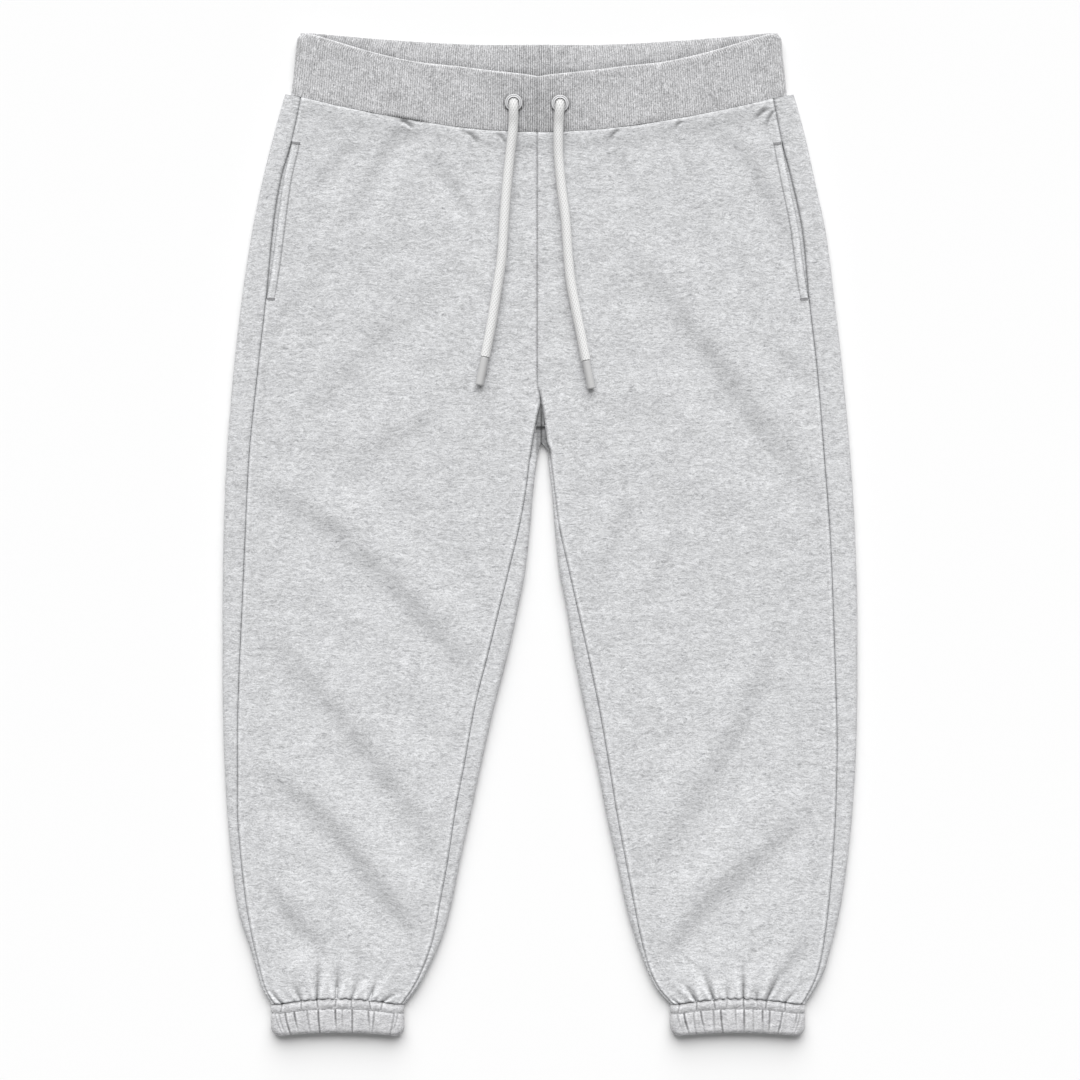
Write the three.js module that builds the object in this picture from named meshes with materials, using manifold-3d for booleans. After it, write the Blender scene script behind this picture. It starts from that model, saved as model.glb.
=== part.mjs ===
// Jogger sweatpants laid flat on their back, in millimetres.
// The origin is under the middle of the garment, on the surface that it lies on.
// +X is the wearer's left, +Y runs up to the waist and +Z is up from the surface.

import * as THREE from "three";
import { mergeVertices } from "three/addons/utils/BufferGeometryUtils.js";
import Module from "manifold-3d";

const wasm = await Module();
wasm.setup();

// Driving sizes of the cloth
const CLOTH = 2.8;
const FRONT_TOP = 8.0;
const EDGE_RADIUS = 4.6;
const FRONT_LOWEST = 3.2;
const SEAM_GAP = 0.3;
const SEAM_DIP = 0.8;
const SEAM_DIP_WIDTH = 1.4;
const SEAM_TO_EDGE = 2.2;
const ROLL_STEPS = 4;
// A seam this close to the outline has a thicker allowance on its hidden side, fully so at SEAM_TO_EDGE
const CLOSE_SEAM = 9;
const CLOSE_SEAM_THICKER = 0.8;
const CLOSE_ROLL_THICKER = 1.6;

// The fronts swell to the height of the rolled edges, and their folds fade out before they reach them
const CROWN_OUTER = 20;
const CROWN_INNER = 15;
const CROWN_REACH = 32;
const FOLD_CLEAR_OUTER = 20;
const FOLD_CLEAR_INNER = 12;
const FOLD_FADE = 20;
const FOLD_END_SHAPE = 0.6;
const CUFF_PUFF = 1.6;
const CUFF_PUFF_REACH = 28;

// Heights of the waist and cuff seams at the outer edges, and how far their curves reach into the legs
const WAIST_SIDE = 409.7;
const CUFF_SIDE = -437.1;
const WAIST_REACH = 80;
const CUFF_REACH = 45;
const CUFF_BOW = 5;
const CUFF_LOWER = 0.35;

// The crotch: the back's centre seam, the point where the two fronts part and where the legs are closed tubes
const CENTRE_X = 0.9;
const CROTCH_Y = 122.3;
const LEG_Y = 114.9;
const RISE_BLEND_Y = 155;
const RISE_BLEND = 0.45;
const CROTCH_PARTING = 0.5;
// Above this the two legs lie against each other
const LEGS_PART_Y = 77.7;
// Width of the back beside its centre seam that turns up into the legs' inner edges, and its flat columns
const BACK_CENTRE_WIDTH = 26;
const BACK_FOOT_SHARES = [0.05, 0.12, 0.25, 0.6];

// Outline and side seam of each side, measured outward from x = 0. Columns: y, edge, side
const OUTER_RIGHT = [
  [410, 237, 222],
  [366, 249, 231],
  [327, 258.5, 242],
  [280, 268, 249],
  [217, 277.6, 255],
  [149, 285.3, 262.7],
  [65, 291.8, 271],
  [-6, 294.4, 274.3],
  [-80, 295.3, 277.5],
  [-136, 295.3, 280],
  [-192, 294.3, 281.3],
  [-253, 291.3, 281.3],
  [-304, 286.9, 277.8],
  [-350, 280.9, 272.2],
  [-386, 269.4, 265.3],
  [-405, 264, 260.8],
  [-422, 258.8, 256],
  [-437.5, 249.7, 247.4],
];
const OUTER_LEFT = [
  [410, 236, 216.7],
  [366, 247.5, 225],
  [327, 256, 234.8],
  [280, 266, 244.6],
  [217, 274, 250.4],
  [149, 281.7, 258],
  [65, 289.2, 264.8],
  [-6, 293.3, 270],
  [-80, 295.3, 273],
  [-136, 295.3, 274.8],
  [-192, 294.4, 276.2],
  [-253, 291, 275],
  [-304, 286, 272],
  [-350, 279, 267.8],
  [-387, 270, 262.8],
  [-405, 265, 259],
  [-422, 256.7, 252.5],
  [-437.5, 246, 243.7],
];

// Inseam and inner outline of each leg, measured outward from x = 0. Columns: y, inseam, inner
const INNER_RIGHT = [
  [CROTCH_Y, -CENTRE_X, -CENTRE_X],
  [LEG_Y, 1.4, -CENTRE_X],
  [98, 4.7, -CENTRE_X],
  [86, 7, -CENTRE_X],
  [LEGS_PART_Y, 8.3, 1.2],
  [64.6, 10.1, 3.3],
  [40, 13.3, 6.2],
  [10, 18.6, 8.8],
  [-35, 29.3, 13.7],
  [-65, 36.7, 19.5],
  [-110, 47.9, 29.3],
  [-162, 60.9, 42.8],
  [-213, 70.2, 54.3],
  [-257, 78.6, 63.7],
  [-305, 86, 74.4],
  [-344, 93.2, 82.2],
  [-374, 98.8, 90.6],
  [-404, 109, 103.7],
  [-422, 117.9, 113.7],
  [-437.5, 128.6, 126.4],
];
const INNER_LEFT = [
  [CROTCH_Y, CENTRE_X, CENTRE_X],
  [LEG_Y, 3.1, CENTRE_X],
  [98, 5.3, CENTRE_X],
  [86, 6.8, CENTRE_X],
  [LEGS_PART_Y, 9.2, 7],
  [64.6, 10.3, 8.1],
  [40, 13.2, 11],
  [10, 17.3, 13.3],
  [-35, 27.2, 17.8],
  [-65, 33.9, 23.7],
  [-110, 44.2, 31],
  [-162, 55, 41.3],
  [-213, 64, 52.3],
  [-257, 71.1, 60.9],
  [-305, 80, 71.3],
  [-344, 87.5, 79.4],
  [-374, 93.5, 87.9],
  [-404, 101.3, 98.9],
  [-422, 110, 107.7],
  [-437.5, 123.6, 121.4],
];

// The centre front seam leans over as it nears the crotch. Columns: y, x
const CENTRE_FRONT = [
  [CROTCH_Y, CENTRE_X],
  [128, 0],
  [141, -2.7],
  [180, -2.7],
  [410, -2.7],
];

// Rims and seams of the waistband, the same on both sides.
// Columns: x, front rim, back rim, front seam, back seam
const WAIST = [
  [0, 426.7, 455.6, 373.4, 400],
  [45, 431, 455.4, 375.4, 400.2],
  [79, 435.2, 456.3, 378.9, 400.6],
  [113, 438.8, 458.2, 383.8, 401.2],
  [156, 448.2, 461.2, 391.6, 402.4],
  [190, 458.2, 464.2, 398.6, 403.8],
  [218, 465.6, 466.6, 405.2, 405.2],
  [240, 467.3, 467.3, 409.7, 409.7],
];

// Soft folds of the fronts. The middle of a fold's steep side runs from one end to the other, and bows to
// its left, most at the share bow at. The cloth climbs to its left over steep, to a crest that is the share
// crest of the height above the plain cloth, and falls beyond over gentle. On its right it rises as gently
// from its foot. The fold is highest at the share peak.
// Columns: from x, from y, to x, to y, bow, bow at, steep, gentle, height, crest, peak
const FOLDS = [
  [-264, 46, -66, -124, 15, 0.35, 25, 40, 4.1, 0.6, 0.78],
  [-262, -82, -98, -304, 10, 0.7, 25, 42, 4.0, 0.55, 0.68],
  [-268, -212, -112, -380, 13, 0.35, 23, 38, 4.6, 0.5, 0.75],
  [-266, -310, -206, -386, 0, 0.5, 20, 30, 4.0, 0.45, 0.7],
  [-174, 290, -130, 380, 3, 0.5, 15, 20, 3.0, 0.2, 0.8],
  [-212, 318, -178, 366, 0, 0.5, 15, 18, 2.2, 0.2, 0.6],
  [-100, 356, -58, 288, 0, 0.5, 13, 14, 2.2, 0.25, 0.5],
  [-214, 118, -100, 244, -6, 0.5, 24, 32, 2.6, 0.5, 0.5],
  [-178, 62, -100, 112, 0, 0.5, 22, 30, 2.0, 0.5, 0.5],
  [-248, 184, -222, 236, 0, 0.5, 14, 18, 1.6, 0.4, 0.5],
  [-64, -10, -55, -66, 0, 0.5, 15, 20, 1.8, 0.3, 0.5],
  [74, 358, 92, 310, 0, 0.5, 13, 16, 2.4, 0.2, 0.4],
  [88, 264, 252, 34, 3, 0.75, 26, 46, 4.6, 0.55, 0.6],
  [176, 374, 242, 244, 6, 0.5, 17, 30, 3.0, 0.35, 0.5],
  [196, 190, 250, 144, 0, 0.5, 17, 28, 2.0, 0.5, 0.5],
  [57, -72, 74, 34, 0, 0.5, 18, 26, 2.6, 0.6, 0.7],
  [104, -66, 124, 2, 0, 0.5, 17, 24, 1.8, 0.4, 0.5],
  [98, -322, 224, -78, -11, 0.62, 25, 42, 4.2, 0.6, 0.45],
  [110, -402, 256, -252, 8, 0.3, 24, 38, 4.6, 0.5, 0.4],
  [208, -436, 268, -354, 0, 0.5, 19, 28, 5.2, 0.45, 0.4],
];

// Gathers where the legs meet the cuffs. Columns: x at the seam, reach up the leg, lean of the top, depth
const GATHERS_RIGHT = [
  [-239.5, 16, -12, 2],
  [-221.8, 12, -5, 1.8],
  [-207.4, 30, 1, 2.4],
  [-189.3, 10, 0, 1.4],
  [-175.3, 14, 2, 1.8],
  [-158.6, 20, 6, 2.2],
  [-146.5, 18, 14, 1.8],
];
const GATHERS_LEFT = [
  [129.7, 10, -14, 1.6],
  [145.5, 16, -6, 2],
  [161.4, 18, -4, 2.2],
  [174.4, 9, 0, 1.4],
  [187.4, 26, 0, 2.4],
  [201.3, 12, 2, 1.6],
  [212, 22, 10, 2],
  [229.2, 12, 6, 1.8],
];
const GATHER_WIDTH = 3.2;
const GATHER_SIDE = 4;
const GATHER_TOP = -400;

// Creases of the cuffs. Columns: x at the top, lean of the foot, depth
const CREASES_RIGHT = [
  [-236.7, 6, 1.8],
  [-227.4, 5, 1.4],
  [-217.2, 4, 2],
  [-206, 2, 1.6],
  [-191.1, 1, 2],
  [-175.3, 0, 1.6],
  [-163, -1, 2],
  [-153.9, -1, 1.4],
  [-141, -3, 1.6],
];
const CREASES_LEFT = [
  [133.5, 6, 2],
  [149.3, 4, 2],
  [160.4, 2, 1.4],
  [169.5, 2, 1.8],
  [181, 1, 1.4],
  [190.5, 0, 2],
  [206.9, 0, 2],
  [216, -1, 1.4],
  [226, -3, 1.8],
  [237, -5, 1.4],
];

// Cuffs
const CUFF = {
  height: 12.4,
  wall: 4.4,
  creaseWidth: 1.7,
  creaseSide: 2.2,
  foot: -467.3,
  footRise: 3.7,
  columnsBack: 8,
  columnsInside: 8,
};
// Sections of a cuff from seam to foot. Columns: share of the height, dip of the top, inset of the sides
const CUFF_SECTIONS = [
  [0, 2, 0.6],
  [0.13, 0.2, 0],
  [0.27, 1.7, 0.5],
  [0.38, 0.1, 0],
  [0.7, 0, 0],
  [0.9, 0.8, 2.2],
  [1, 3.4, 6.5],
];

// Waistband
const BAND = {
  height: 9.6,
  wall: 3.6,
  shift: -0.7,
  halfWidthSeam: 230.3,
  halfWidthRim: 224.4,
  ribPitch: 2.5,
  ribRise: 0.3,
  columnsBack: 24,
  columnsInside: 12,
  seamLift: 0.3,
  seamDip: 1.1,
  rimDip: 1.5,
};
// Sections of the band from seam to rim.
// Columns: share of the height, share of the seam dip, share of the rim dip
const BAND_SECTIONS = [
  [0, 1, 0],
  [0.1, 0, 0],
  [0.9, 0, 0],
  [1, 0, 1],
];

// Side pockets, between their two bar tacks. The front's folded edge draws back from the side seam.
const POCKET = {
  top: 366,
  foot: 217,
  draw: 4.2,
  drawShape: 0.6,
  facingThick: 1.2,
  facingLower: 0.5,
  facingUnderFront: 12,
  facingUnderBack: 2.4,
  facingRows: 8,
};

// Eyelets, in the front of the waistband
const EYELET = {
  flangeRadius: 8.2,
  holeRadius: 4.95,
  barrelRadius: 5.6,
  flangeThick: 0.9,
  foot: 6.2,
  holeFoot: 4.8,
  sides: 20,
};
const EYELET_PLACES = { right: [-24.5, 400.7], left: [18.7, 399.9] };

// Drawstring ends, from inside each eyelet to the tip
const CORD_RADIUS = 4.4;
const CORD_SIDES = 10;
const CORD_ROUTES = {
  right: [
    [-24.5, 400.7, 8.4],
    [-24.5, 400.7, 12.2],
    [-24.5, 399.2, 15.3],
    [-24.5, 396, 16.9],
    [-24.6, 391.6, 16.8],
    [-24.8, 381, 14.9],
    [-26, 367, 14.1],
    [-27.9, 351.1, 13.3],
    [-30.9, 321.3, 13],
    [-33.2, 292.5, 13],
    [-35.8, 254.4, 13],
    [-38.6, 235.8, 13],
    [-42.3, 212, 13],
    [-46.3, 188.3, 13],
    [-51, 164.8, 12.9],
  ],
  left: [
    [18.7, 399.9, 8.4],
    [18.7, 399.9, 12.2],
    [18.6, 398.4, 15.3],
    [18.3, 395.2, 16.9],
    [17.9, 390.8, 16.8],
    [17.3, 381, 14.9],
    [17, 367, 14.1],
    [17.3, 351.1, 13.3],
    [20, 321.3, 13],
    [23.7, 292.5, 13],
    [26.5, 254.4, 13],
    [28.4, 235.8, 13],
    [32.6, 212, 13],
    [37.4, 188.3, 13],
    [42.6, 161.5, 12.9],
  ],
};
const TIP = { radius: 3.8, length: 27, round: 1.2, slope: -0.02, sides: 12 };

const FLEECE = { color: 0xd1d2d4, roughness: 0.95, metalness: 0 };
const RIB_KNIT = { color: 0xc6c6c8, roughness: 0.95, metalness: 0 };
const CORD_BRAID = { color: 0xe4e4e4, roughness: 0.85, metalness: 0 };
const TIP_PLASTIC = { color: 0xdadada, roughness: 0.45, metalness: 0 };
const EYELET_METAL = { color: 0xd8d8d8, roughness: 0.35, metalness: 0.6 };

const mix = THREE.MathUtils.lerp;
const clamp = THREE.MathUtils.clamp;
const smooth = (t) => THREE.MathUtils.smoothstep(t, 0, 1);
const bell = (off) => Math.exp(-(off ** 2));

// A smooth curve through one column of a table whose first column rises or falls, without overshoot.
function curveOf(table, column) {
  const rows = [...table].sort((a, b) => a[0] - b[0]);
  const slopes = rows.slice(1).map((row, i) => (row[column] - rows[i][column]) / (row[0] - rows[i][0]));
  const tangents = rows.map((row, i) => {
    if (i === 0) return slopes[0];
    if (i === rows.length - 1) return slopes[i - 1];
    const [before, after] = [slopes[i - 1], slopes[i]];
    return before * after <= 0 ? 0 : (2 * before * after) / (before + after);
  });
  return (at) => {
    const place = clamp(at, rows[0][0], rows.at(-1)[0]);
    const i = Math.max(rows.findIndex((row) => row[0] >= place) - 1, 0);
    const span = rows[i + 1][0] - rows[i][0];
    const t = (place - rows[i][0]) / span;
    const [from, to] = [rows[i][column], rows[i + 1][column]];
    return (
      from * (1 + 2 * t) * (1 - t) ** 2 +
      tangents[i] * span * t * (1 - t) ** 2 +
      to * t * t * (3 - 2 * t) -
      tangents[i + 1] * span * t * t * (1 - t)
    );
  };
}

const frontRim = curveOf(WAIST, 1);
const backRim = curveOf(WAIST, 2);
const frontSeam = curveOf(WAIST, 3);
const backSeam = curveOf(WAIST, 4);
const centreFront = curveOf(CENTRE_FRONT, 1);

function makeSide(name, out, outerTable, innerTable, gathers, creases) {
  const side = { name, out, gathers, creases };
  side.edge = curveOf(outerTable, 1);
  const sideSeam = curveOf(outerTable, 2);
  side.side = (y) => Math.min(sideSeam(y), side.edge(y) - SEAM_TO_EDGE);
  const inseam = curveOf(innerTable, 1);
  side.inner = curveOf(innerTable, 2);
  side.inseam = (y) => {
    const least = SEAM_TO_EDGE * clamp((CROTCH_Y - y) / (CROTCH_Y - LEG_Y), 0, 1);
    return Math.max(inseam(y), side.inner(y) + least);
  };
  side.centre = out * CENTRE_X;
  side.cuffMiddle = (side.edge(CUFF_SIDE) + side.inner(CUFF_SIDE)) / 2;
  side.cuffHalf = (side.edge(CUFF_SIDE) - side.inner(CUFF_SIDE)) / 2;
  const bowHalf = side.cuffHalf - 2 * EDGE_RADIUS;
  side.cuffSeam = (x) => CUFF_SIDE + CUFF_BOW * clamp(1 - ((out * x - side.cuffMiddle) / bowHalf) ** 2, 0, 1);
  return side;
}

const SIDES = [
  makeSide("right", -1, OUTER_RIGHT, INNER_RIGHT, GATHERS_RIGHT, CREASES_RIGHT),
  makeSide("left", 1, OUTER_LEFT, INNER_LEFT, GATHERS_LEFT, CREASES_LEFT),
];

// Rows run level, but near the waist and the cuffs they take the curve of the seam.
function bentRow(side, x, row, onTop) {
  const waistSeam = mix(backSeam(Math.abs(x)), frontSeam(Math.abs(x)), onTop);
  const waist = (waistSeam - WAIST_SIDE) * smooth((row - WAIST_SIDE + WAIST_REACH) / WAIST_REACH);
  const cuff = onTop * (side.cuffSeam(x) - CUFF_SIDE) * smooth((CUFF_SIDE + CUFF_REACH - row) / CUFF_REACH);
  return row + waist + cuff;
}

// Rises from 0 to 1 at the peak and falls back to 0 at 1.
const swing = (share, peak) => Math.sin((Math.PI / 2) * Math.min(share / peak, (1 - share) / (1 - peak)));

// A smooth rise of height 1 at 0, down to 0 at 1 on each side.
const hump = (off) => Math.cos((Math.PI / 2) * clamp(off, -1, 1)) ** 2;

function foldHeight(x, y) {
  let rise = 0;
  for (const [fromX, fromY, toX, toY, bow, bowAt, steep, gentle, height, crest, peak] of FOLDS) {
    const [runX, runY] = [toX - fromX, toY - fromY];
    const length = Math.hypot(runX, runY);
    const along = ((x - fromX) * runX + (y - fromY) * runY) / length ** 2;
    if (along <= 0 || along >= 1) continue;
    const across = ((y - fromY) * runX - (x - fromX) * runY) / length - bow * swing(along, bowAt);
    const [pastCrest, shortOfFoot] = [across - steep / 2, -across - steep / 2];
    const ridge = hump(pastCrest / (pastCrest < 0 ? steep : gentle));
    const trough = hump(shortOfFoot / (shortOfFoot < 0 ? steep : gentle));
    rise += height * swing(along, peak) ** FOLD_END_SHAPE * (crest * ridge - (1 - crest) * trough);
  }
  return rise;
}

function gatherDepth(side, x, aboveCuff) {
  let depth = 0;
  for (const [seamX, reach, lean, deep] of side.gathers) {
    const up = aboveCuff / reach;
    if (up >= 1) continue;
    const spread = GATHER_WIDTH * (1 + up);
    depth += deep * (1 - up) * bell((x - seamX - lean * up) / spread);
  }
  return depth;
}

// How far the surface of a rolled edge falls at a distance from the outline.
function rollDrop(distance, radius) {
  return distance < radius ? radius - Math.sqrt(radius ** 2 - (radius - Math.max(distance, 0)) ** 2) : 0;
}

const seamDip = (distance) => SEAM_DIP * bell(distance / SEAM_DIP_WIDTH);

// Height of the front's outer face without its seam dips, for a point at out * x, on a row.
function frontHeight(side, outward, row, y) {
  const x = side.out * outward;
  const fromEdge = side.edge(row) - outward;
  const legShare = clamp((RISE_BLEND_Y - row) / (RISE_BLEND_Y - LEG_Y), 0, 1);
  const fromInner = outward - side.inner(Math.min(row, CROTCH_Y));
  const swell = 2 * EDGE_RADIUS - FRONT_TOP;
  const outerSwell = swell * bell(Math.max(fromEdge - CROWN_OUTER, 0) / CROWN_REACH);
  const innerSwell = swell * bell(Math.max(fromInner - CROWN_INNER, 0) / CROWN_REACH) * legShare;
  const fall = rollDrop(fromEdge, EDGE_RADIUS) + rollDrop(fromInner, EDGE_RADIUS) * legShare;
  const outerInside = clamp((fromEdge - FOLD_CLEAR_OUTER) / FOLD_FADE, 0, 1);
  const innerInside = mix(1, clamp((fromInner - FOLD_CLEAR_INNER) / FOLD_FADE, 0, 1), legShare);
  const inside = Math.min(outerInside, innerInside);
  const aboveCuff = y - side.cuffSeam(x);
  const cuffPuff = CUFF_PUFF * bell(Math.max(aboveCuff, 0) / CUFF_PUFF_REACH) * inside;
  const folds = foldHeight(x, y) * inside;
  const gathers = gatherDepth(side, x, aboveCuff) * inside;
  return FRONT_TOP + Math.max(outerSwell, innerSwell) + folds + cuffPuff - gathers - fall;
}

// The inner boundary of a front: the centre front seam, then the inseam.
function frontInner(side, row) {
  if (row > CROTCH_Y) return side.out * centreFront(row) + SEAM_GAP / 2;
  if (row === CROTCH_Y) return side.centre + CROTCH_PARTING;
  return side.inseam(row) + (row === LEG_Y ? CROTCH_PARTING / 2 : SEAM_GAP / 2);
}

function pocketDraw(row) {
  if (row >= POCKET.top || row <= POCKET.foot) return 0;
  const share = (POCKET.top - row) / (POCKET.top - POCKET.foot);
  return POCKET.draw * Math.sin(Math.PI * share) ** POCKET.drawShape;
}

const frontOuter = (side, row) => side.side(row) - pocketDraw(row) - SEAM_GAP / 2;

// Outward positions across a front, close together at its seams and even between them.
function plainColumns(from, to) {
  const near = [0, 2.5, 12];
  const spans = 9;
  const last = near.at(-1);
  const middle = Array.from({ length: spans - 1 }, (_, i) => mix(from - last, to + last, (i + 1) / spans));
  return [...near.map((step) => from - step), ...middle, ...near.map((step) => to + step).reverse()];
}

function gatherColumns(side, from, to, aboveCuff) {
  const inside = side.gathers.flatMap(([seamX, reach, lean]) => {
    const middle = side.out * (seamX + lean * Math.min(aboveCuff / reach, 1));
    return [middle - GATHER_SIDE, middle, middle + GATHER_SIDE];
  });
  const kept = inside.filter((a) => a < from - GATHER_SIDE && a > to + GATHER_SIDE).sort((a, b) => b - a);
  const apart = kept.filter((a, i) => i === 0 || kept[i - 1] - a > GATHER_SIDE / 3);
  return [from, from - GATHER_SIDE / 2, ...apart, to + GATHER_SIDE / 2, to];
}

// Stations of the rows from the waist seam to the cuff seam, shared by the front and back of a side
const HIP_STATIONS = [400, 383, POCKET.top, 330, 295, 256, POCKET.foot, 185, RISE_BLEND_Y, 138];
const CROTCH_STATIONS = [CROTCH_Y, LEG_Y, 98, 86, LEGS_PART_Y, 64.6, 40];
const LEG_STATIONS = [10, -22, -52, -82, -112, -142, -172, -202, -232, -262, -292, -320, -347, -375];
const ANKLE_STATIONS = [-401, -414, -424, -431];
const STATIONS = [
  WAIST_SIDE - SEAM_GAP / 2,
  ...HIP_STATIONS,
  ...CROTCH_STATIONS,
  ...LEG_STATIONS,
  ...ANKLE_STATIONS,
  CUFF_SIDE + SEAM_GAP / 2,
];

// Joins two rows of points, of any counts, with a strip of triangles.
function bridge(triangles, first, second, flip) {
  const shares = (row) => {
    const sums = [0];
    for (let i = 1; i < row.length; i += 1) sums.push(sums[i - 1] + row[i].distanceTo(row[i - 1]));
    return sums.map((sum) => sum / sums.at(-1));
  };
  const [firstShares, secondShares] = [shares(first), shares(second)];
  let [i, j] = [0, 0];
  while (i < first.length - 1 || j < second.length - 1) {
    const firstNext = i < first.length - 1 && firstShares[i + 1] <= secondShares[j + 1];
    const onFirst = j === second.length - 1 || firstNext;
    const next = onFirst ? first[i + 1] : second[j + 1];
    triangles.push(flip ? [first[i], next, second[j]] : [first[i], second[j], next]);
    if (onFirst) i += 1;
    else j += 1;
  }
}

// Joins rows whose segments match, such as the front, edge, back and edge of a tube.
function bridgeRows(triangles, first, second, flip) {
  first.forEach((segment, k) => bridge(triangles, segment, second[k], flip));
}

function solidOf(triangles) {
  const positions = triangles.flat().flatMap((p) => [p.x, p.y, p.z]);
  const loose = new THREE.BufferGeometry();
  loose.setAttribute("position", new THREE.Float32BufferAttribute(positions, 3));
  const geometry = mergeVertices(loose, 1e-4);
  const [a, b, c] = [new THREE.Vector3(), new THREE.Vector3(), new THREE.Vector3()];
  const corner = geometry.getAttribute("position");
  const index = Array.from(geometry.getIndex().array);
  const kept = [];
  let volume = 0;
  for (let i = 0; i < index.length; i += 3) {
    const [p, q, r] = index.slice(i, i + 3);
    if (p === q || q === r || r === p) continue;
    kept.push(p, q, r);
    a.fromBufferAttribute(corner, p);
    b.fromBufferAttribute(corner, q);
    c.fromBufferAttribute(corner, r);
    volume += a.dot(b.cross(c));
  }
  if (volume < 0) {
    for (let i = 0; i < kept.length; i += 3) [kept[i], kept[i + 1]] = [kept[i + 1], kept[i]];
  }
  geometry.setIndex(kept);
  return geometry;
}

// A closed wall between two faces given as rows of segments. An open wall also gets its two side faces.
function wallBetween(outerRows, innerRows, open) {
  const triangles = [];
  for (let i = 1; i < outerRows.length; i += 1) bridgeRows(triangles, outerRows[i - 1], outerRows[i], false);
  for (let i = 1; i < innerRows.length; i += 1) bridgeRows(triangles, innerRows[i - 1], innerRows[i], true);
  bridgeRows(triangles, outerRows[0], innerRows[0], true);
  bridgeRows(triangles, outerRows.at(-1), innerRows.at(-1), false);
  if (open) {
    const starts = [outerRows, innerRows].map((rows) => rows.map((row) => row[0][0]));
    const ends = [outerRows, innerRows].map((rows) => rows.map((row) => row.at(-1).at(-1)));
    bridge(triangles, starts[0], starts[1], false);
    bridge(triangles, ends[0], ends[1], true);
  }
  return solidOf(triangles);
}

function frontPanel(side) {
  const outerRows = [];
  const innerRows = [];
  for (const row of STATIONS) {
    const [from, to] = [frontOuter(side, row), frontInner(side, row)];
    const gathered = row < GATHER_TOP;
    const columns = gathered ? gatherColumns(side, from, to, row - CUFF_SIDE) : plainColumns(from, to);
    const top = [];
    const under = [];
    for (const outward of columns) {
      const x = side.out * outward;
      const y = bentRow(side, x, row, 1);
      const height = frontHeight(side, outward, row, y);
      const toSeams = Math.min(from - outward, outward - to, WAIST_SIDE - row, row - CUFF_SIDE);
      top.push(new THREE.Vector3(x, y, height - seamDip(toSeams)));
      under.push(new THREE.Vector3(x, y, Math.max(height - CLOTH, FRONT_LOWEST)));
    }
    outerRows.push([top]);
    innerRows.push([under]);
  }
  return wallBetween(outerRows, innerRows, true);
}

// Points along a rolled edge, from a seam on top, round the edge and to the foot of the roll.
// Each has its distance from the outline, its height and the way that its face looks.
function rollPath(seamDistance, radius) {
  const flat = Math.max(seamDistance - radius, 0);
  const start = seamDistance < radius ? Math.asin(1 - seamDistance / radius) : 0;
  const total = flat + radius * (Math.PI - start);
  const second = Math.max(flat, Math.min(4, total / 3));
  const steps = [0, Math.min(2, second / 2)];
  for (let k = 0; k <= ROLL_STEPS; k += 1) steps.push(mix(second, total, k / ROLL_STEPS));
  return steps.map((along) => {
    if (along < flat) return { distance: seamDistance - along, z: 2 * radius, outward: 0, up: 1 };
    const angle = start + (along - flat) / radius;
    return {
      distance: radius * (1 - Math.sin(angle)),
      z: radius * (1 + Math.cos(angle)),
      outward: Math.sin(angle),
      up: Math.cos(angle),
    };
  });
}

// The wall along a rolled edge, as pairs of outer and inner points of one section.
function rolledEdge(outline, seam, inward) {
  const seamDistance = Math.abs(outline - seam);
  const upright = clamp(seamDistance / SEAM_TO_EDGE, 0, 1);
  const close = clamp((CLOSE_SEAM - seamDistance) / (CLOSE_SEAM - SEAM_TO_EDGE), 0, 1);
  return rollPath(seamDistance, EDGE_RADIUS).map((step, k) => {
    const across = k === 0 ? step.outward * (1 - upright) : step.outward;
    const up = k === 0 ? mix(step.up, 1, upright) : step.up;
    const dip = k === 0 ? SEAM_DIP * upright : 0;
    const thick = CLOTH + (k === 0 ? CLOSE_SEAM_THICKER : CLOSE_ROLL_THICKER) * close;
    const outward = outline + inward * step.distance;
    return { outer: [outward, step.z - dip], inner: [outward + inward * thick * across, step.z - thick * up] };
  });
}

// One section of a back panel, from the side seam round the edge, under the leg and up to the inseam.
function backSection(side, row) {
  const outer = rolledEdge(side.edge(row), side.side(row) + SEAM_GAP / 2, -1);
  const footFrom = side.edge(row) - EDGE_RADIUS;
  const legRow = Math.min(row, CROTCH_Y);
  const legInner = side.inner(legRow) + (legRow > LEGS_PART_Y ? SEAM_GAP / 2 : 0);
  const legSeam = Math.max(side.inseam(legRow) - SEAM_GAP / 2, legInner);
  const rolled = rolledEdge(legInner, legSeam, 1).reverse();
  const above = RISE_BLEND * smooth((RISE_BLEND_Y - row) / (RISE_BLEND_Y - CROTCH_Y));
  const below = mix(RISE_BLEND, 1, clamp((CROTCH_Y - row) / (CROTCH_Y - LEG_Y), 0, 1));
  const rise = row > CROTCH_Y ? above : below;
  const inner = rolled.map((pair, k) => {
    const flat = side.centre + SEAM_GAP / 2 + BACK_CENTRE_WIDTH * (1 - k / (rolled.length - 1));
    return {
      outer: [mix(flat, pair.outer[0], rise), mix(0, pair.outer[1], rise)],
      inner: [mix(flat, pair.inner[0], rise), mix(CLOTH, pair.inner[1], rise)],
    };
  });
  const footTo = inner[0].outer[0];
  const foot = BACK_FOOT_SHARES.map((share) => {
    const outward = mix(footFrom, footTo, share);
    return { outer: [outward, 0], inner: [outward, CLOTH] };
  });
  return [...outer, ...foot, ...inner];
}

function backPanel(side) {
  const outerRows = [];
  const innerRows = [];
  for (const row of STATIONS) {
    const place = ([outward, z]) => {
      const x = side.out * outward;
      return new THREE.Vector3(x, bentRow(side, x, row, z > EDGE_RADIUS ? 1 : 0), z);
    };
    const section = backSection(side, row);
    outerRows.push([section.map((pair) => place(pair.outer))]);
    innerRows.push([section.map((pair) => place(pair.inner))]);
  }
  return wallBetween(outerRows, innerRows, true);
}

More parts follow.
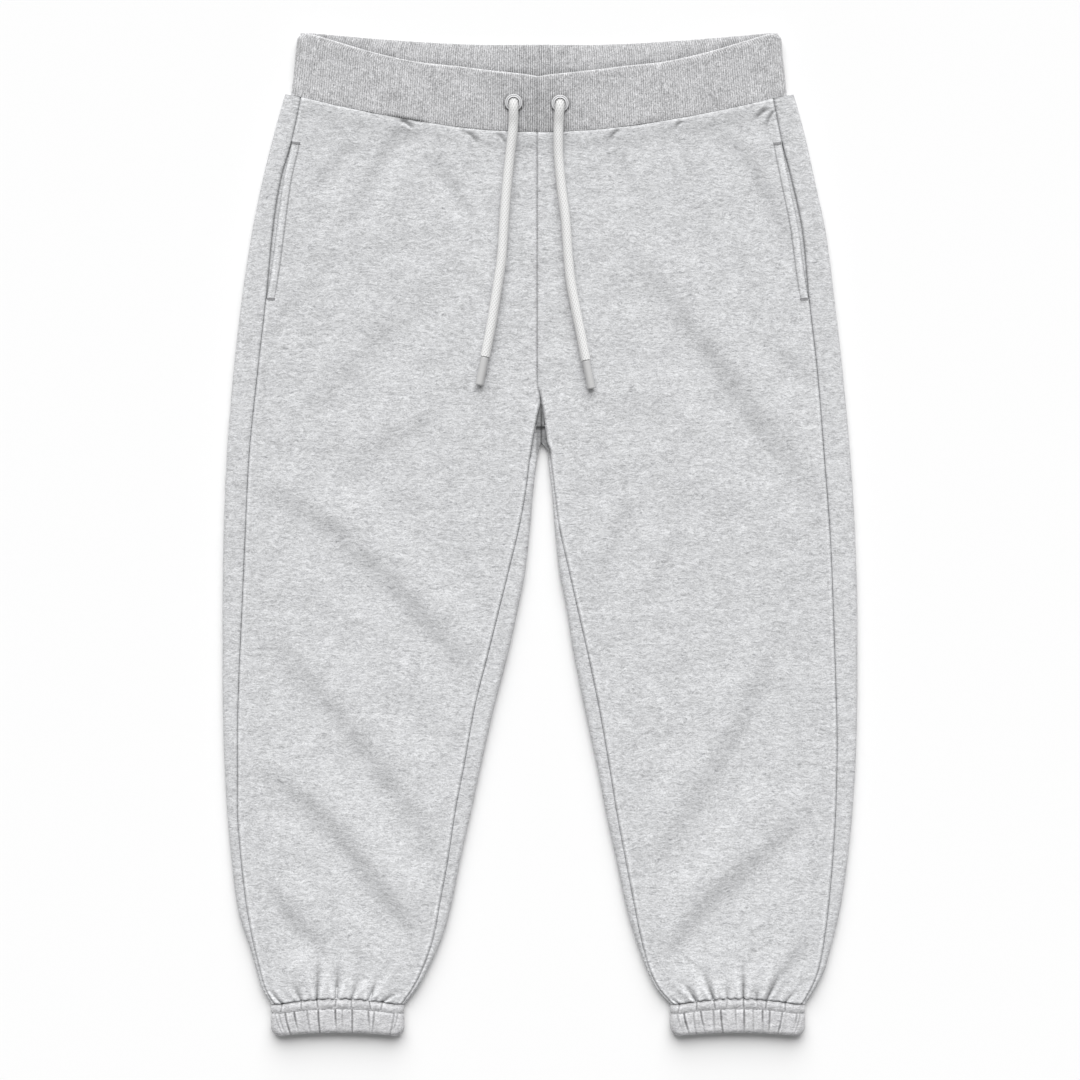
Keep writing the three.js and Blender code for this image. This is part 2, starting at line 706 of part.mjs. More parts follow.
// A flat tube's section as four segments: front, edge, back and edge.
function tubeSection(fromX, toX, low, high, frontXs, backCount, edgeCount, frontLift, heightAt) {
  const radius = (high - low) / 2;
  const level = (low + high) / 2;
  const point = (x, z, roll) => new THREE.Vector3(x, heightAt(x, roll), z);
  const edge = (x, sign) =>
    Array.from({ length: edgeCount + 1 }, (_, k) => {
      const angle = sign > 0 ? (Math.PI * k) / edgeCount : Math.PI - (Math.PI * k) / edgeCount;
      return point(x + sign * radius * Math.sin(angle), level + radius * Math.cos(angle), angle / Math.PI);
    });
  const front = [fromX, ...frontXs, toX].map((x, k, all) => {
    const lift = k === 0 || k === all.length - 1 ? 0 : frontLift(x, k);
    return point(x, high + lift, 0);
  });
  const back = Array.from({ length: backCount + 1 }, (_, k) => point(mix(toX, fromX, k / backCount), low, 1));
  return [front, edge(toX, 1), back, edge(fromX, -1)];
}

function waistband() {
  const outerRows = [];
  const innerRows = [];
  const ribs = 2 * Math.round(BAND.halfWidthSeam / BAND.ribPitch) - 4;
  for (const [share, seamShare, rimShare] of BAND_SECTIONS) {
    const half = mix(BAND.halfWidthSeam, BAND.halfWidthRim, share);
    const dip = BAND.seamDip * seamShare + BAND.rimDip * rimShare;
    const heightAt = (x, roll) => {
      const seam = mix(frontSeam(Math.abs(x)), backSeam(Math.abs(x)), roll) + BAND.seamLift * (1 + roll);
      return mix(seam, mix(frontRim(Math.abs(x)), backRim(Math.abs(x)), roll), share);
    };
    const build = (inset, columns, lift, edges) => {
      const [low, high] = [inset, BAND.height - inset - (inset ? 0 : dip)];
      const flatHalf = half - inset - (high - low) / 2;
      const [fromX, toX] = [BAND.shift - flatHalf, BAND.shift + flatHalf];
      const xs = Array.from({ length: columns - 1 }, (_, k) => mix(fromX, toX, (k + 1) / columns));
      return tubeSection(fromX, toX, low, high, xs, BAND.columnsBack, edges, lift, heightAt);
    };
    outerRows.push(build(0, 2 * ribs, (x, k) => (k % 2 ? BAND.ribRise : -BAND.ribRise), 5));
    innerRows.push(build(BAND.wall, BAND.columnsInside, () => 0, 3));
  }
  const band = toManifold(wallBetween(outerRows, innerRows, false));
  const holes = Object.values(EYELET_PLACES).map(([x, y]) => {
    const hole = new THREE.CylinderGeometry(
      EYELET.barrelRadius + SEAM_GAP,
      EYELET.barrelRadius + SEAM_GAP,
      BAND.height,
      EYELET.sides,
    );
    hole.rotateX(Math.PI / 2);
    hole.translate(x, y, EYELET.holeFoot + BAND.height / 2);
    return toManifold(hole);
  });
  return fromManifold(holes.reduce((cut, hole) => cut.subtract(hole), band));
}

function toManifold(geometry) {
  const bare = geometry.clone();
  bare.deleteAttribute("normal");
  bare.deleteAttribute("uv");
  const merged = mergeVertices(bare, 1e-4);
  return new wasm.Manifold(
    new wasm.Mesh({
      numProp: 3,
      vertProperties: new Float32Array(merged.getAttribute("position").array),
      triVerts: new Uint32Array(merged.getIndex().array),
    }),
  );
}

function fromManifold(solid) {
  const mesh = solid.getMesh();
  const geometry = new THREE.BufferGeometry();
  geometry.setAttribute("position", new THREE.BufferAttribute(new Float32Array(mesh.vertProperties), 3));
  geometry.setIndex(Array.from(mesh.triVerts));
  return geometry;
}

function cuff(side) {
  const outerRows = [];
  const innerRows = [];
  const middle = side.out * side.cuffMiddle;
  for (const [share, dip, inset] of CUFF_SECTIONS) {
    const half = side.cuffHalf - inset;
    const footAt = (x) => CUFF.foot + CUFF.footRise * (1 - ((x - middle) / side.cuffHalf) ** 2);
    const seamAt = (x, roll) => (roll < 0.5 ? side.cuffSeam(x) : CUFF_SIDE);
    const heightAt = (x, roll) => mix(seamAt(x, roll), footAt(x), share) - CUFF_LOWER;
    const radius = (CUFF.height - dip) / 2;
    const [fromX, toX] = [middle - half + radius, middle + half - radius];
    const creaseAt = side.creases.map(([x, lean, depth]) => ({ x: x + lean * share, depth }));
    const xs = creaseAt
      .flatMap(({ x }) => [x - CUFF.creaseSide, x, x + CUFF.creaseSide])
      .sort((a, b) => a - b)
      .filter((x) => x > fromX + CUFF.creaseSide && x < toX - CUFF.creaseSide);
    const lift = (x) => {
      let sum = 0;
      for (const crease of creaseAt) sum -= crease.depth * bell((x - crease.x) / CUFF.creaseWidth);
      return sum;
    };
    outerRows.push(tubeSection(fromX, toX, 0, CUFF.height - dip, xs, CUFF.columnsBack, 5, lift, heightAt));
    const [low, high] = [CUFF.wall, CUFF.height - CUFF.wall - Math.max(dip - 2, 0)];
    const innerRadius = (high - low) / 2;
    const innerHalf = half - CUFF.wall - innerRadius;
    const [innerFrom, innerTo] = [middle - innerHalf, middle + innerHalf];
    const inside = CUFF.columnsInside;
    const innerXs = Array.from({ length: inside - 1 }, (_, k) => mix(innerFrom, innerTo, (k + 1) / inside));
    innerRows.push(tubeSection(innerFrom, innerTo, low, high, innerXs, inside, 3, () => 0, heightAt));
  }
  return wallBetween(outerRows, innerRows, false);
}

// The sliver of facing in a pocket's mouth lies just under the front's points and under the back's edge.
function pocketFacing(side) {
  const top = [];
  const under = [];
  for (let k = 0; k <= POCKET.facingRows; k += 1) {
    const row = mix(POCKET.top, POCKET.foot, k / POCKET.facingRows);
    const seam = side.side(row);
    const columns = [seam + POCKET.facingUnderBack, seam - POCKET.draw, seam - POCKET.facingUnderFront];
    const points = columns.map((outward) => {
      const x = side.out * outward;
      const y = bentRow(side, x, row, 1);
      const frontUnder = Math.min(frontHeight(side, outward, row, y), 2 * EDGE_RADIUS) - CLOTH;
      return new THREE.Vector3(x, y, frontUnder - POCKET.facingLower);
    });
    top.push([points]);
    under.push([points.map((p) => new THREE.Vector3(p.x, p.y, p.z - POCKET.facingThick))]);
  }
  return wallBetween(top, under, true);
}

function eyelet() {
  const flangeFoot = BAND.height + BAND.ribRise + SEAM_GAP;
  const flangeTop = flangeFoot + EYELET.flangeThick;
  const profile = [
    [EYELET.holeRadius, EYELET.foot],
    [EYELET.barrelRadius, EYELET.foot],
    [EYELET.barrelRadius, flangeFoot],
    [EYELET.flangeRadius, flangeFoot],
    [EYELET.flangeRadius - 0.1, flangeTop - 0.4],
    [EYELET.flangeRadius - 1, flangeTop],
    [EYELET.holeRadius + 0.5, flangeTop],
    [EYELET.holeRadius, flangeTop - 0.5],
    [EYELET.holeRadius, EYELET.foot],
  ].map(([radius, z]) => new THREE.Vector2(radius, z));
  const geometry = new THREE.LatheGeometry(profile, EYELET.sides);
  geometry.rotateX(Math.PI / 2);
  return geometry;
}

// A cord's steps follow its route's points, so that the bend at the eyelet keeps its own.
class CordRoute extends THREE.CatmullRomCurve3 {
  getPointAt(share, target) {
    return this.getPoint(share, target);
  }

  getTangentAt(share, target) {
    return this.getTangent(share, target);
  }
}

function cord(route) {
  const points = route.map((p) => new THREE.Vector3(...p));
  const section = new THREE.Shape();
  for (let k = 0; k < CORD_SIDES; k += 1) {
    const angle = (2 * Math.PI * k) / CORD_SIDES;
    const [x, y] = [CORD_RADIUS * Math.cos(angle), CORD_RADIUS * Math.sin(angle)];
    if (k === 0) section.moveTo(x, y);
    else section.lineTo(x, y);
  }
  section.closePath();
  return new THREE.ExtrudeGeometry(section, {
    steps: 2 * (points.length - 1),
    extrudePath: new CordRoute(points, false, "centripetal"),
  });
}

function tip() {
  const { radius, length, round } = TIP;
  const profile = [
    [0, 0],
    [radius - round, 0],
    [radius, round],
    [radius, length - round],
    [radius - round, length],
    [0, length],
  ].map(([across, along]) => new THREE.Vector2(across, along));
  return new THREE.LatheGeometry(profile, TIP.sides);
}

const garment = new THREE.Group();

function addPiece(name, geometry, finish) {
  const mesh = new THREE.Mesh(geometry, new THREE.MeshStandardMaterial(finish));
  mesh.name = name;
  garment.add(mesh);
  return mesh;
}

for (const side of SIDES) {
  addPiece(`front_${side.name}`, frontPanel(side), FLEECE);
  addPiece(`back_${side.name}`, backPanel(side), FLEECE);
  addPiece(`cuff_${side.name}`, cuff(side), FLEECE);
  addPiece(`pocket_facing_${side.name}`, pocketFacing(side), FLEECE);
  addPiece(`eyelet_${side.name}`, eyelet(), EYELET_METAL).position.set(...EYELET_PLACES[side.name], 0);
  const route = CORD_ROUTES[side.name];
  addPiece(`cord_${side.name}`, cord(route), CORD_BRAID);
  const end = new THREE.Vector3(...route.at(-1));
  const onward = end.clone().sub(new THREE.Vector3(...route.at(-2)));
  onward.z = TIP.slope * Math.hypot(onward.x, onward.y);
  onward.normalize();
  const tipPiece = addPiece(`tip_${side.name}`, tip(), TIP_PLASTIC);
  tipPiece.position.copy(end.addScaledVector(onward, SEAM_GAP));
  tipPiece.quaternion.setFromUnitVectors(new THREE.Vector3(0, 1, 0), onward);
}
addPiece("waistband", waistband(), RIB_KNIT);

export default garment;
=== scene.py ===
"""Looks of the jogger sweatpants, laid flat on their back and seen from straight above.

Tables and sizes are in millimetres, as in the part's source, and MM turns them into metres.
+X is the wearer's left, +Y runs up to the waist and +Z is up from the surface.
"""

import math

import bpy
import numpy as np
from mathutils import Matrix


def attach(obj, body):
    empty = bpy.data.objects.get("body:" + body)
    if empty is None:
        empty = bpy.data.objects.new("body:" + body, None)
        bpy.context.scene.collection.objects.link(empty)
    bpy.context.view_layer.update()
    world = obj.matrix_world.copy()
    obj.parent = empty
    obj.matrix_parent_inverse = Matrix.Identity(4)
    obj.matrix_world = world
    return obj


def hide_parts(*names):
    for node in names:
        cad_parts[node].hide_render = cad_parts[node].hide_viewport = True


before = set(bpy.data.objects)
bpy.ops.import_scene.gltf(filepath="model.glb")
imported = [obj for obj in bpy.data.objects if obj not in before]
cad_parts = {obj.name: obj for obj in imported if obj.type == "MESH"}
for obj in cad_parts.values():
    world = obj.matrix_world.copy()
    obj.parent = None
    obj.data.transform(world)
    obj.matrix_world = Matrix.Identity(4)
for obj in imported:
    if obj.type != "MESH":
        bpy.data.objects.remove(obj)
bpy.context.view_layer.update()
MM = 0.001

# Sizes of the cloth, as in the part's source
CLOTH = 2.8
FRONT_TOP = 8.0
EDGE_RADIUS = 4.6
SEAM_GAP = 0.3
SEAM_TO_EDGE = 2.2
CROWN_OUTER = 20
CROWN_INNER = 15
CROWN_REACH = 32
FOLD_CLEAR_OUTER = 20
FOLD_CLEAR_INNER = 12
FOLD_FADE = 20
FOLD_END_SHAPE = 0.6
CUFF_PUFF = 1.6
CUFF_PUFF_REACH = 28
WAIST_SIDE = 409.7
CUFF_SIDE = -437.1
WAIST_REACH = 80
CUFF_REACH = 45
CUFF_BOW = 5
CENTRE_X = 0.9
CROTCH_Y = 122.3
LEG_Y = 114.9
RISE_BLEND_Y = 155
RISE_BLEND = 0.45
LEGS_PART_Y = 77.7
BACK_CENTRE_WIDTH = 26

# Finer form of the cloth that only the render has
SEAM_DIP = 1.0
SEAM_DIP_WIDTH = 0.9
SEAM_LIP = 0.45
SEAM_LIP_AT = 2.4
SEAM_LIP_WIDTH = 1.5
# Painted shade in the seams and painted highlight on the lips beside them
SEAM_PAINTED_SHADE = 0.22
CENTRE_SEAM_PAINTED_SHADE = 0.14
SEAM_PAINTED_HIGHLIGHT = 0.12
SEAM_PAINTED_SHADE_WIDTH = 0.6
SEAM_PAINTED_HIGHLIGHT_AT = 2.2
SEAM_PAINTED_HIGHLIGHT_WIDTH = 1.2
BACK_LIP = 0.15
PUCKER = 0.2
BACK_PUCKER_SHARE = 1.6
PUCKER_PITCH = 3.9
PUCKER_REACH = 4.5
WAIST_PUFF = 1.4
WAIST_PUFF_AT = 2.5
WAIST_PUFF_RISE = 3.2
WAIST_PUFF_FALL = 15
# Painted shadow of the short fold where a front tucks under the waistband
WAIST_SHADOW_X = -125
WAIST_SHADOW_HALF = 18
WAIST_SHADOW_DARK = 0.6
UNEVEN = 0.16
UNEVEN_LENGTH = 46
UNDERSIDE_CREASE = 1.3
SCALLOP = 0.4
SCALLOP_PITCH = 7.6

# The back panels sink between the inseams, where the legs meet, and are painted with shade there
WEDGE_DEPTH = 3.6
WEDGE_TOP = 126
WEDGE_FOOT = 58
WEDGE_PAINTED_SHADE = 0.55
WEDGE_SEAM_X = 1.4
WEDGE_CREASE_Y = 99

# Meshes: steps of the rows as (middle, ends), columns of the fronts, points round a cuff as
# (front, edge, back), and turns of a rim
FRONT_ROWS = (2.1, 0.9)
BACK_ROWS = (1.7, 0.9)
INSIDE_ROWS = (24, 10)
FRONT_COLUMNS = 190
CUFF_POINTS = (330, 18, 110)
RIM_TURNS = 8
INSIDE_LOWEST = 3.2

# Outline and side seam of each side, measured outward from x = 0. Columns: y, edge, side
OUTER_RIGHT = [
    [410, 237, 222], [366, 249, 231], [327, 258.5, 242], [280, 268, 249], [217, 277.6, 255],
    [149, 285.3, 262.7], [65, 291.8, 271], [-6, 294.4, 274.3], [-80, 295.3, 277.5], [-136, 295.3, 280],
    [-192, 294.3, 281.3], [-253, 291.3, 281.3], [-304, 286.9, 277.8], [-350, 280.9, 272.2],
    [-386, 269.4, 265.3], [-405, 264, 260.8], [-422, 258.8, 256], [-437.5, 249.7, 247.4],
]
OUTER_LEFT = [
    [410, 236, 216.7], [366, 247.5, 225], [327, 256, 234.8], [280, 266, 244.6], [217, 274, 250.4],
    [149, 281.7, 258], [65, 289.2, 264.8], [-6, 293.3, 270], [-80, 295.3, 273], [-136, 295.3, 274.8],
    [-192, 294.4, 276.2], [-253, 291, 275], [-304, 286, 272], [-350, 279, 267.8], [-387, 270, 262.8],
    [-405, 265, 259], [-422, 256.7, 252.5], [-437.5, 246, 243.7],
]

# Inseam and inner outline of each leg, measured outward from x = 0. Columns: y, inseam, inner
INNER_RIGHT = [
    [CROTCH_Y, -CENTRE_X, -CENTRE_X], [LEG_Y, 1.4, -CENTRE_X], [98, 4.7, -CENTRE_X],
    [86, 7, -CENTRE_X], [LEGS_PART_Y, 8.3, 1.2], [64.6, 10.1, 3.3], [40, 13.3, 6.2], [10, 18.6, 8.8],
    [-35, 29.3, 13.7], [-65, 36.7, 19.5], [-110, 47.9, 29.3], [-162, 60.9, 42.8], [-213, 70.2, 54.3],
    [-257, 78.6, 63.7], [-305, 86, 74.4], [-344, 93.2, 82.2], [-374, 98.8, 90.6], [-404, 109, 103.7],
    [-422, 117.9, 113.7], [-437.5, 128.6, 126.4],
]
INNER_LEFT = [
    [CROTCH_Y, CENTRE_X, CENTRE_X], [LEG_Y, 3.1, CENTRE_X], [98, 5.3, CENTRE_X], [86, 6.8, CENTRE_X],
    [LEGS_PART_Y, 9.2, 7], [64.6, 10.3, 8.1], [40, 13.2, 11], [10, 17.3, 13.3], [-35, 27.2, 17.8],
    [-65, 33.9, 23.7], [-110, 44.2, 31], [-162, 55, 41.3], [-213, 64, 52.3], [-257, 71.1, 60.9],
    [-305, 80, 71.3], [-344, 87.5, 79.4], [-374, 93.5, 87.9], [-404, 101.3, 98.9], [-422, 110, 107.7],
    [-437.5, 123.6, 121.4],
]

# The centre front seam leans over as it nears the crotch. Columns: y, x
CENTRE_FRONT = [
    [CROTCH_Y, CENTRE_X], [128, 0], [141, -2.7], [180, -2.7], [410, -2.7],
]

# Rims and seams of the waistband, the same on both sides.
# Columns: x, front rim, back rim, front seam, back seam
WAIST = [
    [0, 426.7, 455.6, 373.4, 400], [45, 431, 455.4, 375.4, 400.2], [79, 435.2, 456.3, 378.9, 400.6],
    [113, 438.8, 458.2, 383.8, 401.2], [156, 448.2, 461.2, 391.6, 402.4],
    [190, 458.2, 464.2, 398.6, 403.8], [218, 465.6, 466.6, 405.2, 405.2],
    [240, 467.3, 467.3, 409.7, 409.7],
]

# Soft folds of the fronts. The middle of a fold's steep side runs from one end to the other, and bows
# to its left, most at the share "bow at". The cloth climbs to its left over "steep", to a crest that is
# the share "crest" of the height above the plain cloth, and falls beyond over "gentle". On its right it
# rises as gently from its foot. The fold is highest at the share "peak".
# Columns: from x, from y, to x, to y, bow, bow at, steep, gentle, height, crest, peak
FOLDS = [
    [-264, 46, -66, -124, 15, 0.35, 25, 40, 4.1, 0.6, 0.78],
    [-262, -82, -98, -304, 10, 0.7, 25, 42, 4.0, 0.55, 0.68],
    [-268, -212, -112, -380, 13, 0.35, 23, 38, 4.6, 0.5, 0.75],
    [-266, -310, -206, -386, 0, 0.5, 20, 30, 4.0, 0.45, 0.7],
    [-174, 290, -130, 380, 3, 0.5, 15, 20, 3.0, 0.2, 0.8],
    [-212, 318, -178, 366, 0, 0.5, 15, 18, 2.2, 0.2, 0.6],
    [-100, 356, -58, 288, 0, 0.5, 13, 14, 2.2, 0.25, 0.5],
    [-214, 118, -100, 244, -6, 0.5, 24, 32, 2.6, 0.5, 0.5],
    [-178, 62, -100, 112, 0, 0.5, 22, 30, 2.0, 0.5, 0.5],
    [-248, 184, -222, 236, 0, 0.5, 14, 18, 1.6, 0.4, 0.5],
    [-64, -10, -55, -66, 0, 0.5, 15, 20, 1.8, 0.3, 0.5],
    [74, 358, 92, 310, 0, 0.5, 13, 16, 2.4, 0.2, 0.4],
    [88, 264, 252, 34, 3, 0.75, 26, 46, 4.6, 0.55, 0.6],
    [176, 374, 242, 244, 6, 0.5, 17, 30, 3.0, 0.35, 0.5],
    [196, 190, 250, 144, 0, 0.5, 17, 28, 2.0, 0.5, 0.5],
    [57, -72, 74, 34, 0, 0.5, 18, 26, 2.6, 0.6, 0.7],
    [104, -66, 124, 2, 0, 0.5, 17, 24, 1.8, 0.4, 0.5],
    [98, -322, 224, -78, -11, 0.62, 25, 42, 4.2, 0.6, 0.45],
    [110, -402, 256, -252, 8, 0.3, 24, 38, 4.6, 0.5, 0.4],
    [208, -436, 268, -354, 0, 0.5, 19, 28, 5.2, 0.45, 0.4],
]

# Short sharp creases under the waist seam.
# Columns: middle x, middle y, length, turn in degrees, width, depth
PINCHES = [
    [-123.7, 381.8, 13, -32, 1.8, 1.9],
    [-62.3, 369.2, 14, -45, 2.2, 1.3],
    [-34.9, 368.3, 12, -48, 2.0, 1.1],
    [68.4, 372, 14, 45, 2.2, 1.3],
    [127.9, 380.4, 9, 45, 1.8, 1.2],
    [206, 391.5, 15, 38, 1.8, 1.6],
    [213.5, 387, 18, 62, 1.6, 1.3],
]

# Gathers where the legs meet the cuffs. Columns: x at the seam, reach up the leg, lean of the top, depth
GATHERS_RIGHT = [
    [-239.5, 13, -12, 2.4], [-221.8, 10, -4, 2.2], [-207.4, 24, 1, 2.8], [-189.3, 19, 1, 2.8],
    [-175.3, 15, 5, 2.2], [-158.6, 16, 5, 2.8], [-146.5, 8, 9, 2.4],
]
GATHERS_LEFT = [
    [129.7, 9, -14, 2.2], [145.5, 14, -8, 2.8], [161.4, 18, -6, 3], [174.4, 9, -1, 1.6],
    [189, 22, 0, 3], [201.3, 7, 0, 1.4], [210.6, 18, 8, 2.6], [227.9, 10, 7, 2.4],
]

# Creases of the cuffs. Columns: x at the top, lean of the foot, depth
CREASES_RIGHT = [
    [-246, 7, 1], [-242.3, 6, 1], [-236.7, 5, 1.9], [-228.3, 4.5, 2.2], [-216.2, 3, 1.3],
    [-206, 1.5, 2.2], [-190.2, 1, 2.2], [-183.7, 0, 0.9], [-174.4, 0, 1.9], [-159.5, 1.5, 1.6],
    [-153.9, -2, 1.5], [-135.3, -4, 1.1], [-132.5, -5, 1],
]
CREASES_LEFT = [
    [127.6, 6, 1], [133.7, 5, 2.2], [142.6, 2.5, 1.2], [149.4, 4, 2.1], [161, 1, 1.3], [167.8, 2, 2],
    [181.4, 1, 1.2], [189.6, 0, 2.2], [198, 0, 0.9], [206.7, 0, 2], [213.5, -1, 1.8], [225, -4, 1.7],
    [238.7, -5, 1.3], [241.5, -6, 1],
]

# Cuffs
CUFF_HEIGHT = 12.4
CUFF_WALL = 3.0
CUFF_FOOT = -467.3
CUFF_FOOT_RISE = 3.7
CUFF_FOOT_ROUND = 0.6
CUFF_RINGS = 46
STITCH_PITCH = 2.9
CUFF_CREASE_WIDTH = 0.75
CUFF_STITCH_SHARE = 0.27
# Sections of a cuff from seam to foot. Columns: share of the height, dip of the top, inset of the sides
CUFF_SECTIONS = [
    [0, 0.9, 0.4], [0.06, 0.3, 0.1], [0.13, 0, 0], [0.21, 0.25, 0.1], [CUFF_STITCH_SHARE, 0.8, 0.4],
    [0.33, 0.3, 0.1], [0.42, 0, 0], [0.7, 0, 0], [0.8, 0.05, 0.5], [0.88, 0.1, 1.6], [0.94, 0.4, 3.1],
    [0.98, 1.2, 4.8], [1, 2.2, 6.2],
]

# Waistband
BAND_HEIGHT = 9.6
BAND_WALL = 3.6
BAND_SHIFT = -0.7
BAND_HALF_SEAM = 230.3
BAND_HALF_RIM = 224.4
BAND_RIBS = 215
BAND_EDGE_RIBS = 6
RIB_STEPS = 4
RIB_RISE = 0.24
RIB_PAINTED_SHADE = 0.42
BAND_SEAM_ROUND = 0.1
BAND_SEAM_DIP = 0.5
BAND_CENTRE = -2.7
BAND_MIDDLE_PAINTED_SHADE = 0.1
BAND_INSIDE_PAINTED_SHADE = -0.02
BAND_RIM_PAINTED_SHADE = 0.1
BAND_CORNER_ROUND = 2.4

# Side pockets, between their two bar tacks
POCKET_TOP = 366
POCKET_FOOT = 217
POCKET_DRAW = 4.2
POCKET_DRAW_SHAPE = 0.6
FACING_THICK = 1.2
FACING_LOWER = 0.5
FACING_UNDER_FRONT = 12
FACING_UNDER_BACK = 2.4
TOPSTITCH_IN = 6.8
TOPSTITCH_DIP = 0.35
TOPSTITCH_WIDTH = 0.8
MOUTH_LIFT = 0.5
MOUTH_LIFT_REACH = 4
STITCH_STEP = 0.4

# Eyelets
EYELET_PLACES = {"right": (-24.5, 400.7), "left": (18.7, 399.9)}
EYELET_FLANGE = 8.2
EYELET_HOLE = 4.95
EYELET_BARREL = 5.6
EYELET_FOOT = 6.2
EYELET_BASE = 10.1

# Drawstring ends, from inside each eyelet to the tip, as in the part's source
CORD_RADIUS = 4.4
CORD_ROUTES = {
    "right": [
        [-24.5, 400.7, 8.4], [-24.5, 400.7, 12.2], [-24.5, 399.2, 15.3], [-24.5, 396, 16.9],
        [-24.6, 391.6, 16.8], [-24.8, 381, 14.9], [-26, 367, 14.1], [-27.9, 351.1, 13.3],
        [-30.9, 321.3, 13], [-33.2, 292.5, 13], [-35.8, 254.4, 13], [-38.6, 235.8, 13],
        [-42.3, 212, 13], [-46.3, 188.3, 13], [-51, 164.8, 12.9],
    ],
    "left": [
        [18.7, 399.9, 8.4], [18.7, 399.9, 12.2], [18.6, 398.4, 15.3], [18.3, 395.2, 16.9],
        [17.9, 390.8, 16.8], [17.3, 381, 14.9], [17, 367, 14.1], [17.3, 351.1, 13.3], [20, 321.3, 13],
        [23.7, 292.5, 13], [26.5, 254.4, 13], [28.4, 235.8, 13], [32.6, 212, 13], [37.4, 188.3, 13],
        [42.6, 161.5, 12.9],
    ],
}
TIP_RADIUS = 3.8
TIP_LENGTH = 27
TIP_SLOPE = -0.02
TIP_NECK = 0.12
TIP_ROUND = 1.5
BRAID_STEP = 0.8
BRAID_STRANDS = 10
BRAID_PITCH = 4
BRAID_RISE = 0.2
BRAID_PAINTED_SHADE = 0.45

# The camera looks straight down. A pixel of the photograph shows PIXEL of the garment.
PHOTO_SIDE = 1080
PIXEL = 0.93
PHOTO_MIDDLE_Y = -5.6
CAMERA_HEIGHT = 4000
OUTLINE_HEIGHT = 6
SENSOR_WIDTH = 36

# Light and surface
SUN_ENERGY = 4.273
SUN_WIDTH = 65
SUN_TILT = -52
SURROUND = 0.26
FLOOR_HALF = 3.0
FLOOR_TONE = 0.9


def mix(a, b, t):
    return a + (b - a) * t


def smooth(t):
    t = np.clip(t, 0, 1)
    return t * t * (3 - 2 * t)


def bell(off, width):
    return np.exp(-((off / width) ** 2))


def unit(vector):
    return vector / np.linalg.norm(vector)


def curve_of(table, column):
    """A smooth curve through a column of a table over its first column, without overshoot."""
    rows = sorted(table)
    xs = np.array([row[0] for row in rows], float)
    ys = np.array([row[column] for row in rows], float)
    slopes = np.diff(ys) / np.diff(xs)
    before, after = slopes[:-1], slopes[1:]
    turning = before * after <= 0
    middle = np.where(turning, 0, 2 * before * after / np.where(turning, 1, before + after))
    tangents = np.concatenate([slopes[:1], middle, slopes[-1:]])

    def curve(at):
        place = np.clip(at, xs[0], xs[-1])
        i = np.clip(np.searchsorted(xs, place) - 1, 0, len(xs) - 2)
        span = xs[i + 1] - xs[i]
        t = (place - xs[i]) / span
        ends = ys[i] * (1 + 2 * t) * (1 - t) ** 2 + ys[i + 1] * t * t * (3 - 2 * t)
        return ends + span * (tangents[i] * t * (1 - t) ** 2 - tangents[i + 1] * t * t * (1 - t))

    return curve


front_rim = curve_of(WAIST, 1)
back_rim = curve_of(WAIST, 2)
front_seam = curve_of(WAIST, 3)
back_seam = curve_of(WAIST, 4)
centre_front = curve_of(CENTRE_FRONT, 1)


class Side:
    """One side of the garment, with its outlines and seams as distances outward from x = 0."""

    def __init__(self, name, out, outer, inner, gathers, creases):
        self.name = name
        self.out = out
        self.gathers = gathers
        self.creases = creases
        self.centre = out * CENTRE_X
        self.edge = curve_of(outer, 1)
        self.inner = curve_of(inner, 2)
        self._side = curve_of(outer, 2)
        self._inseam = curve_of(inner, 1)
        self.cuff_middle = float(self.edge(CUFF_SIDE) + self.inner(CUFF_SIDE)) / 2
        self.cuff_half = float(self.edge(CUFF_SIDE) - self.inner(CUFF_SIDE)) / 2

    def side(self, y):
        return np.minimum(self._side(y), self.edge(y) - SEAM_TO_EDGE)

    def inseam(self, y):
        least = SEAM_TO_EDGE * np.clip((CROTCH_Y - y) / (CROTCH_Y - LEG_Y), 0, 1)
        return np.maximum(self._inseam(y), self.inner(y) + least)

    def cuff_seam(self, x):
        off = (self.out * x - self.cuff_middle) / (self.cuff_half - 2 * EDGE_RADIUS)
        scallop = SCALLOP * np.cos(2 * np.pi * x / SCALLOP_PITCH + 1.4 * np.sin(x / 13))
        return CUFF_SIDE + (CUFF_BOW + scallop) * np.clip(1 - off**2, 0, 1)


SIDES = [
    Side("right", -1, OUTER_RIGHT, INNER_RIGHT, GATHERS_RIGHT, CREASES_RIGHT),
    Side("left", 1, OUTER_LEFT, INNER_LEFT, GATHERS_LEFT, CREASES_LEFT),
]


def bent_row(side, x, row, on_top):
    """Rows run level, but near the waist and the cuffs they take the curve of the seam."""
    waist_seam = mix(back_seam(np.abs(x)), front_seam(np.abs(x)), on_top)
    waist = (waist_seam - WAIST_SIDE) * smooth((row - WAIST_SIDE + WAIST_REACH) / WAIST_REACH)
    cuff = on_top * (side.cuff_seam(x) - CUFF_SIDE) * smooth((CUFF_SIDE + CUFF_REACH - row) / CUFF_REACH)
    return row + waist + cuff


def uneven(x, y, length, seed, count=16):
    """A smooth random surface of about unit height, the same on each run."""
    rng = np.random.default_rng(seed)
    total = 0
    for _ in range(count):
        turn, phase = rng.uniform(0, 2 * np.pi, 2)
        wave = length * rng.uniform(0.7, 1.7)
        total = total + np.sin(2 * np.pi * (x * np.cos(turn) + y * np.sin(turn)) / wave + phase)
    return total / math.sqrt(count / 2)


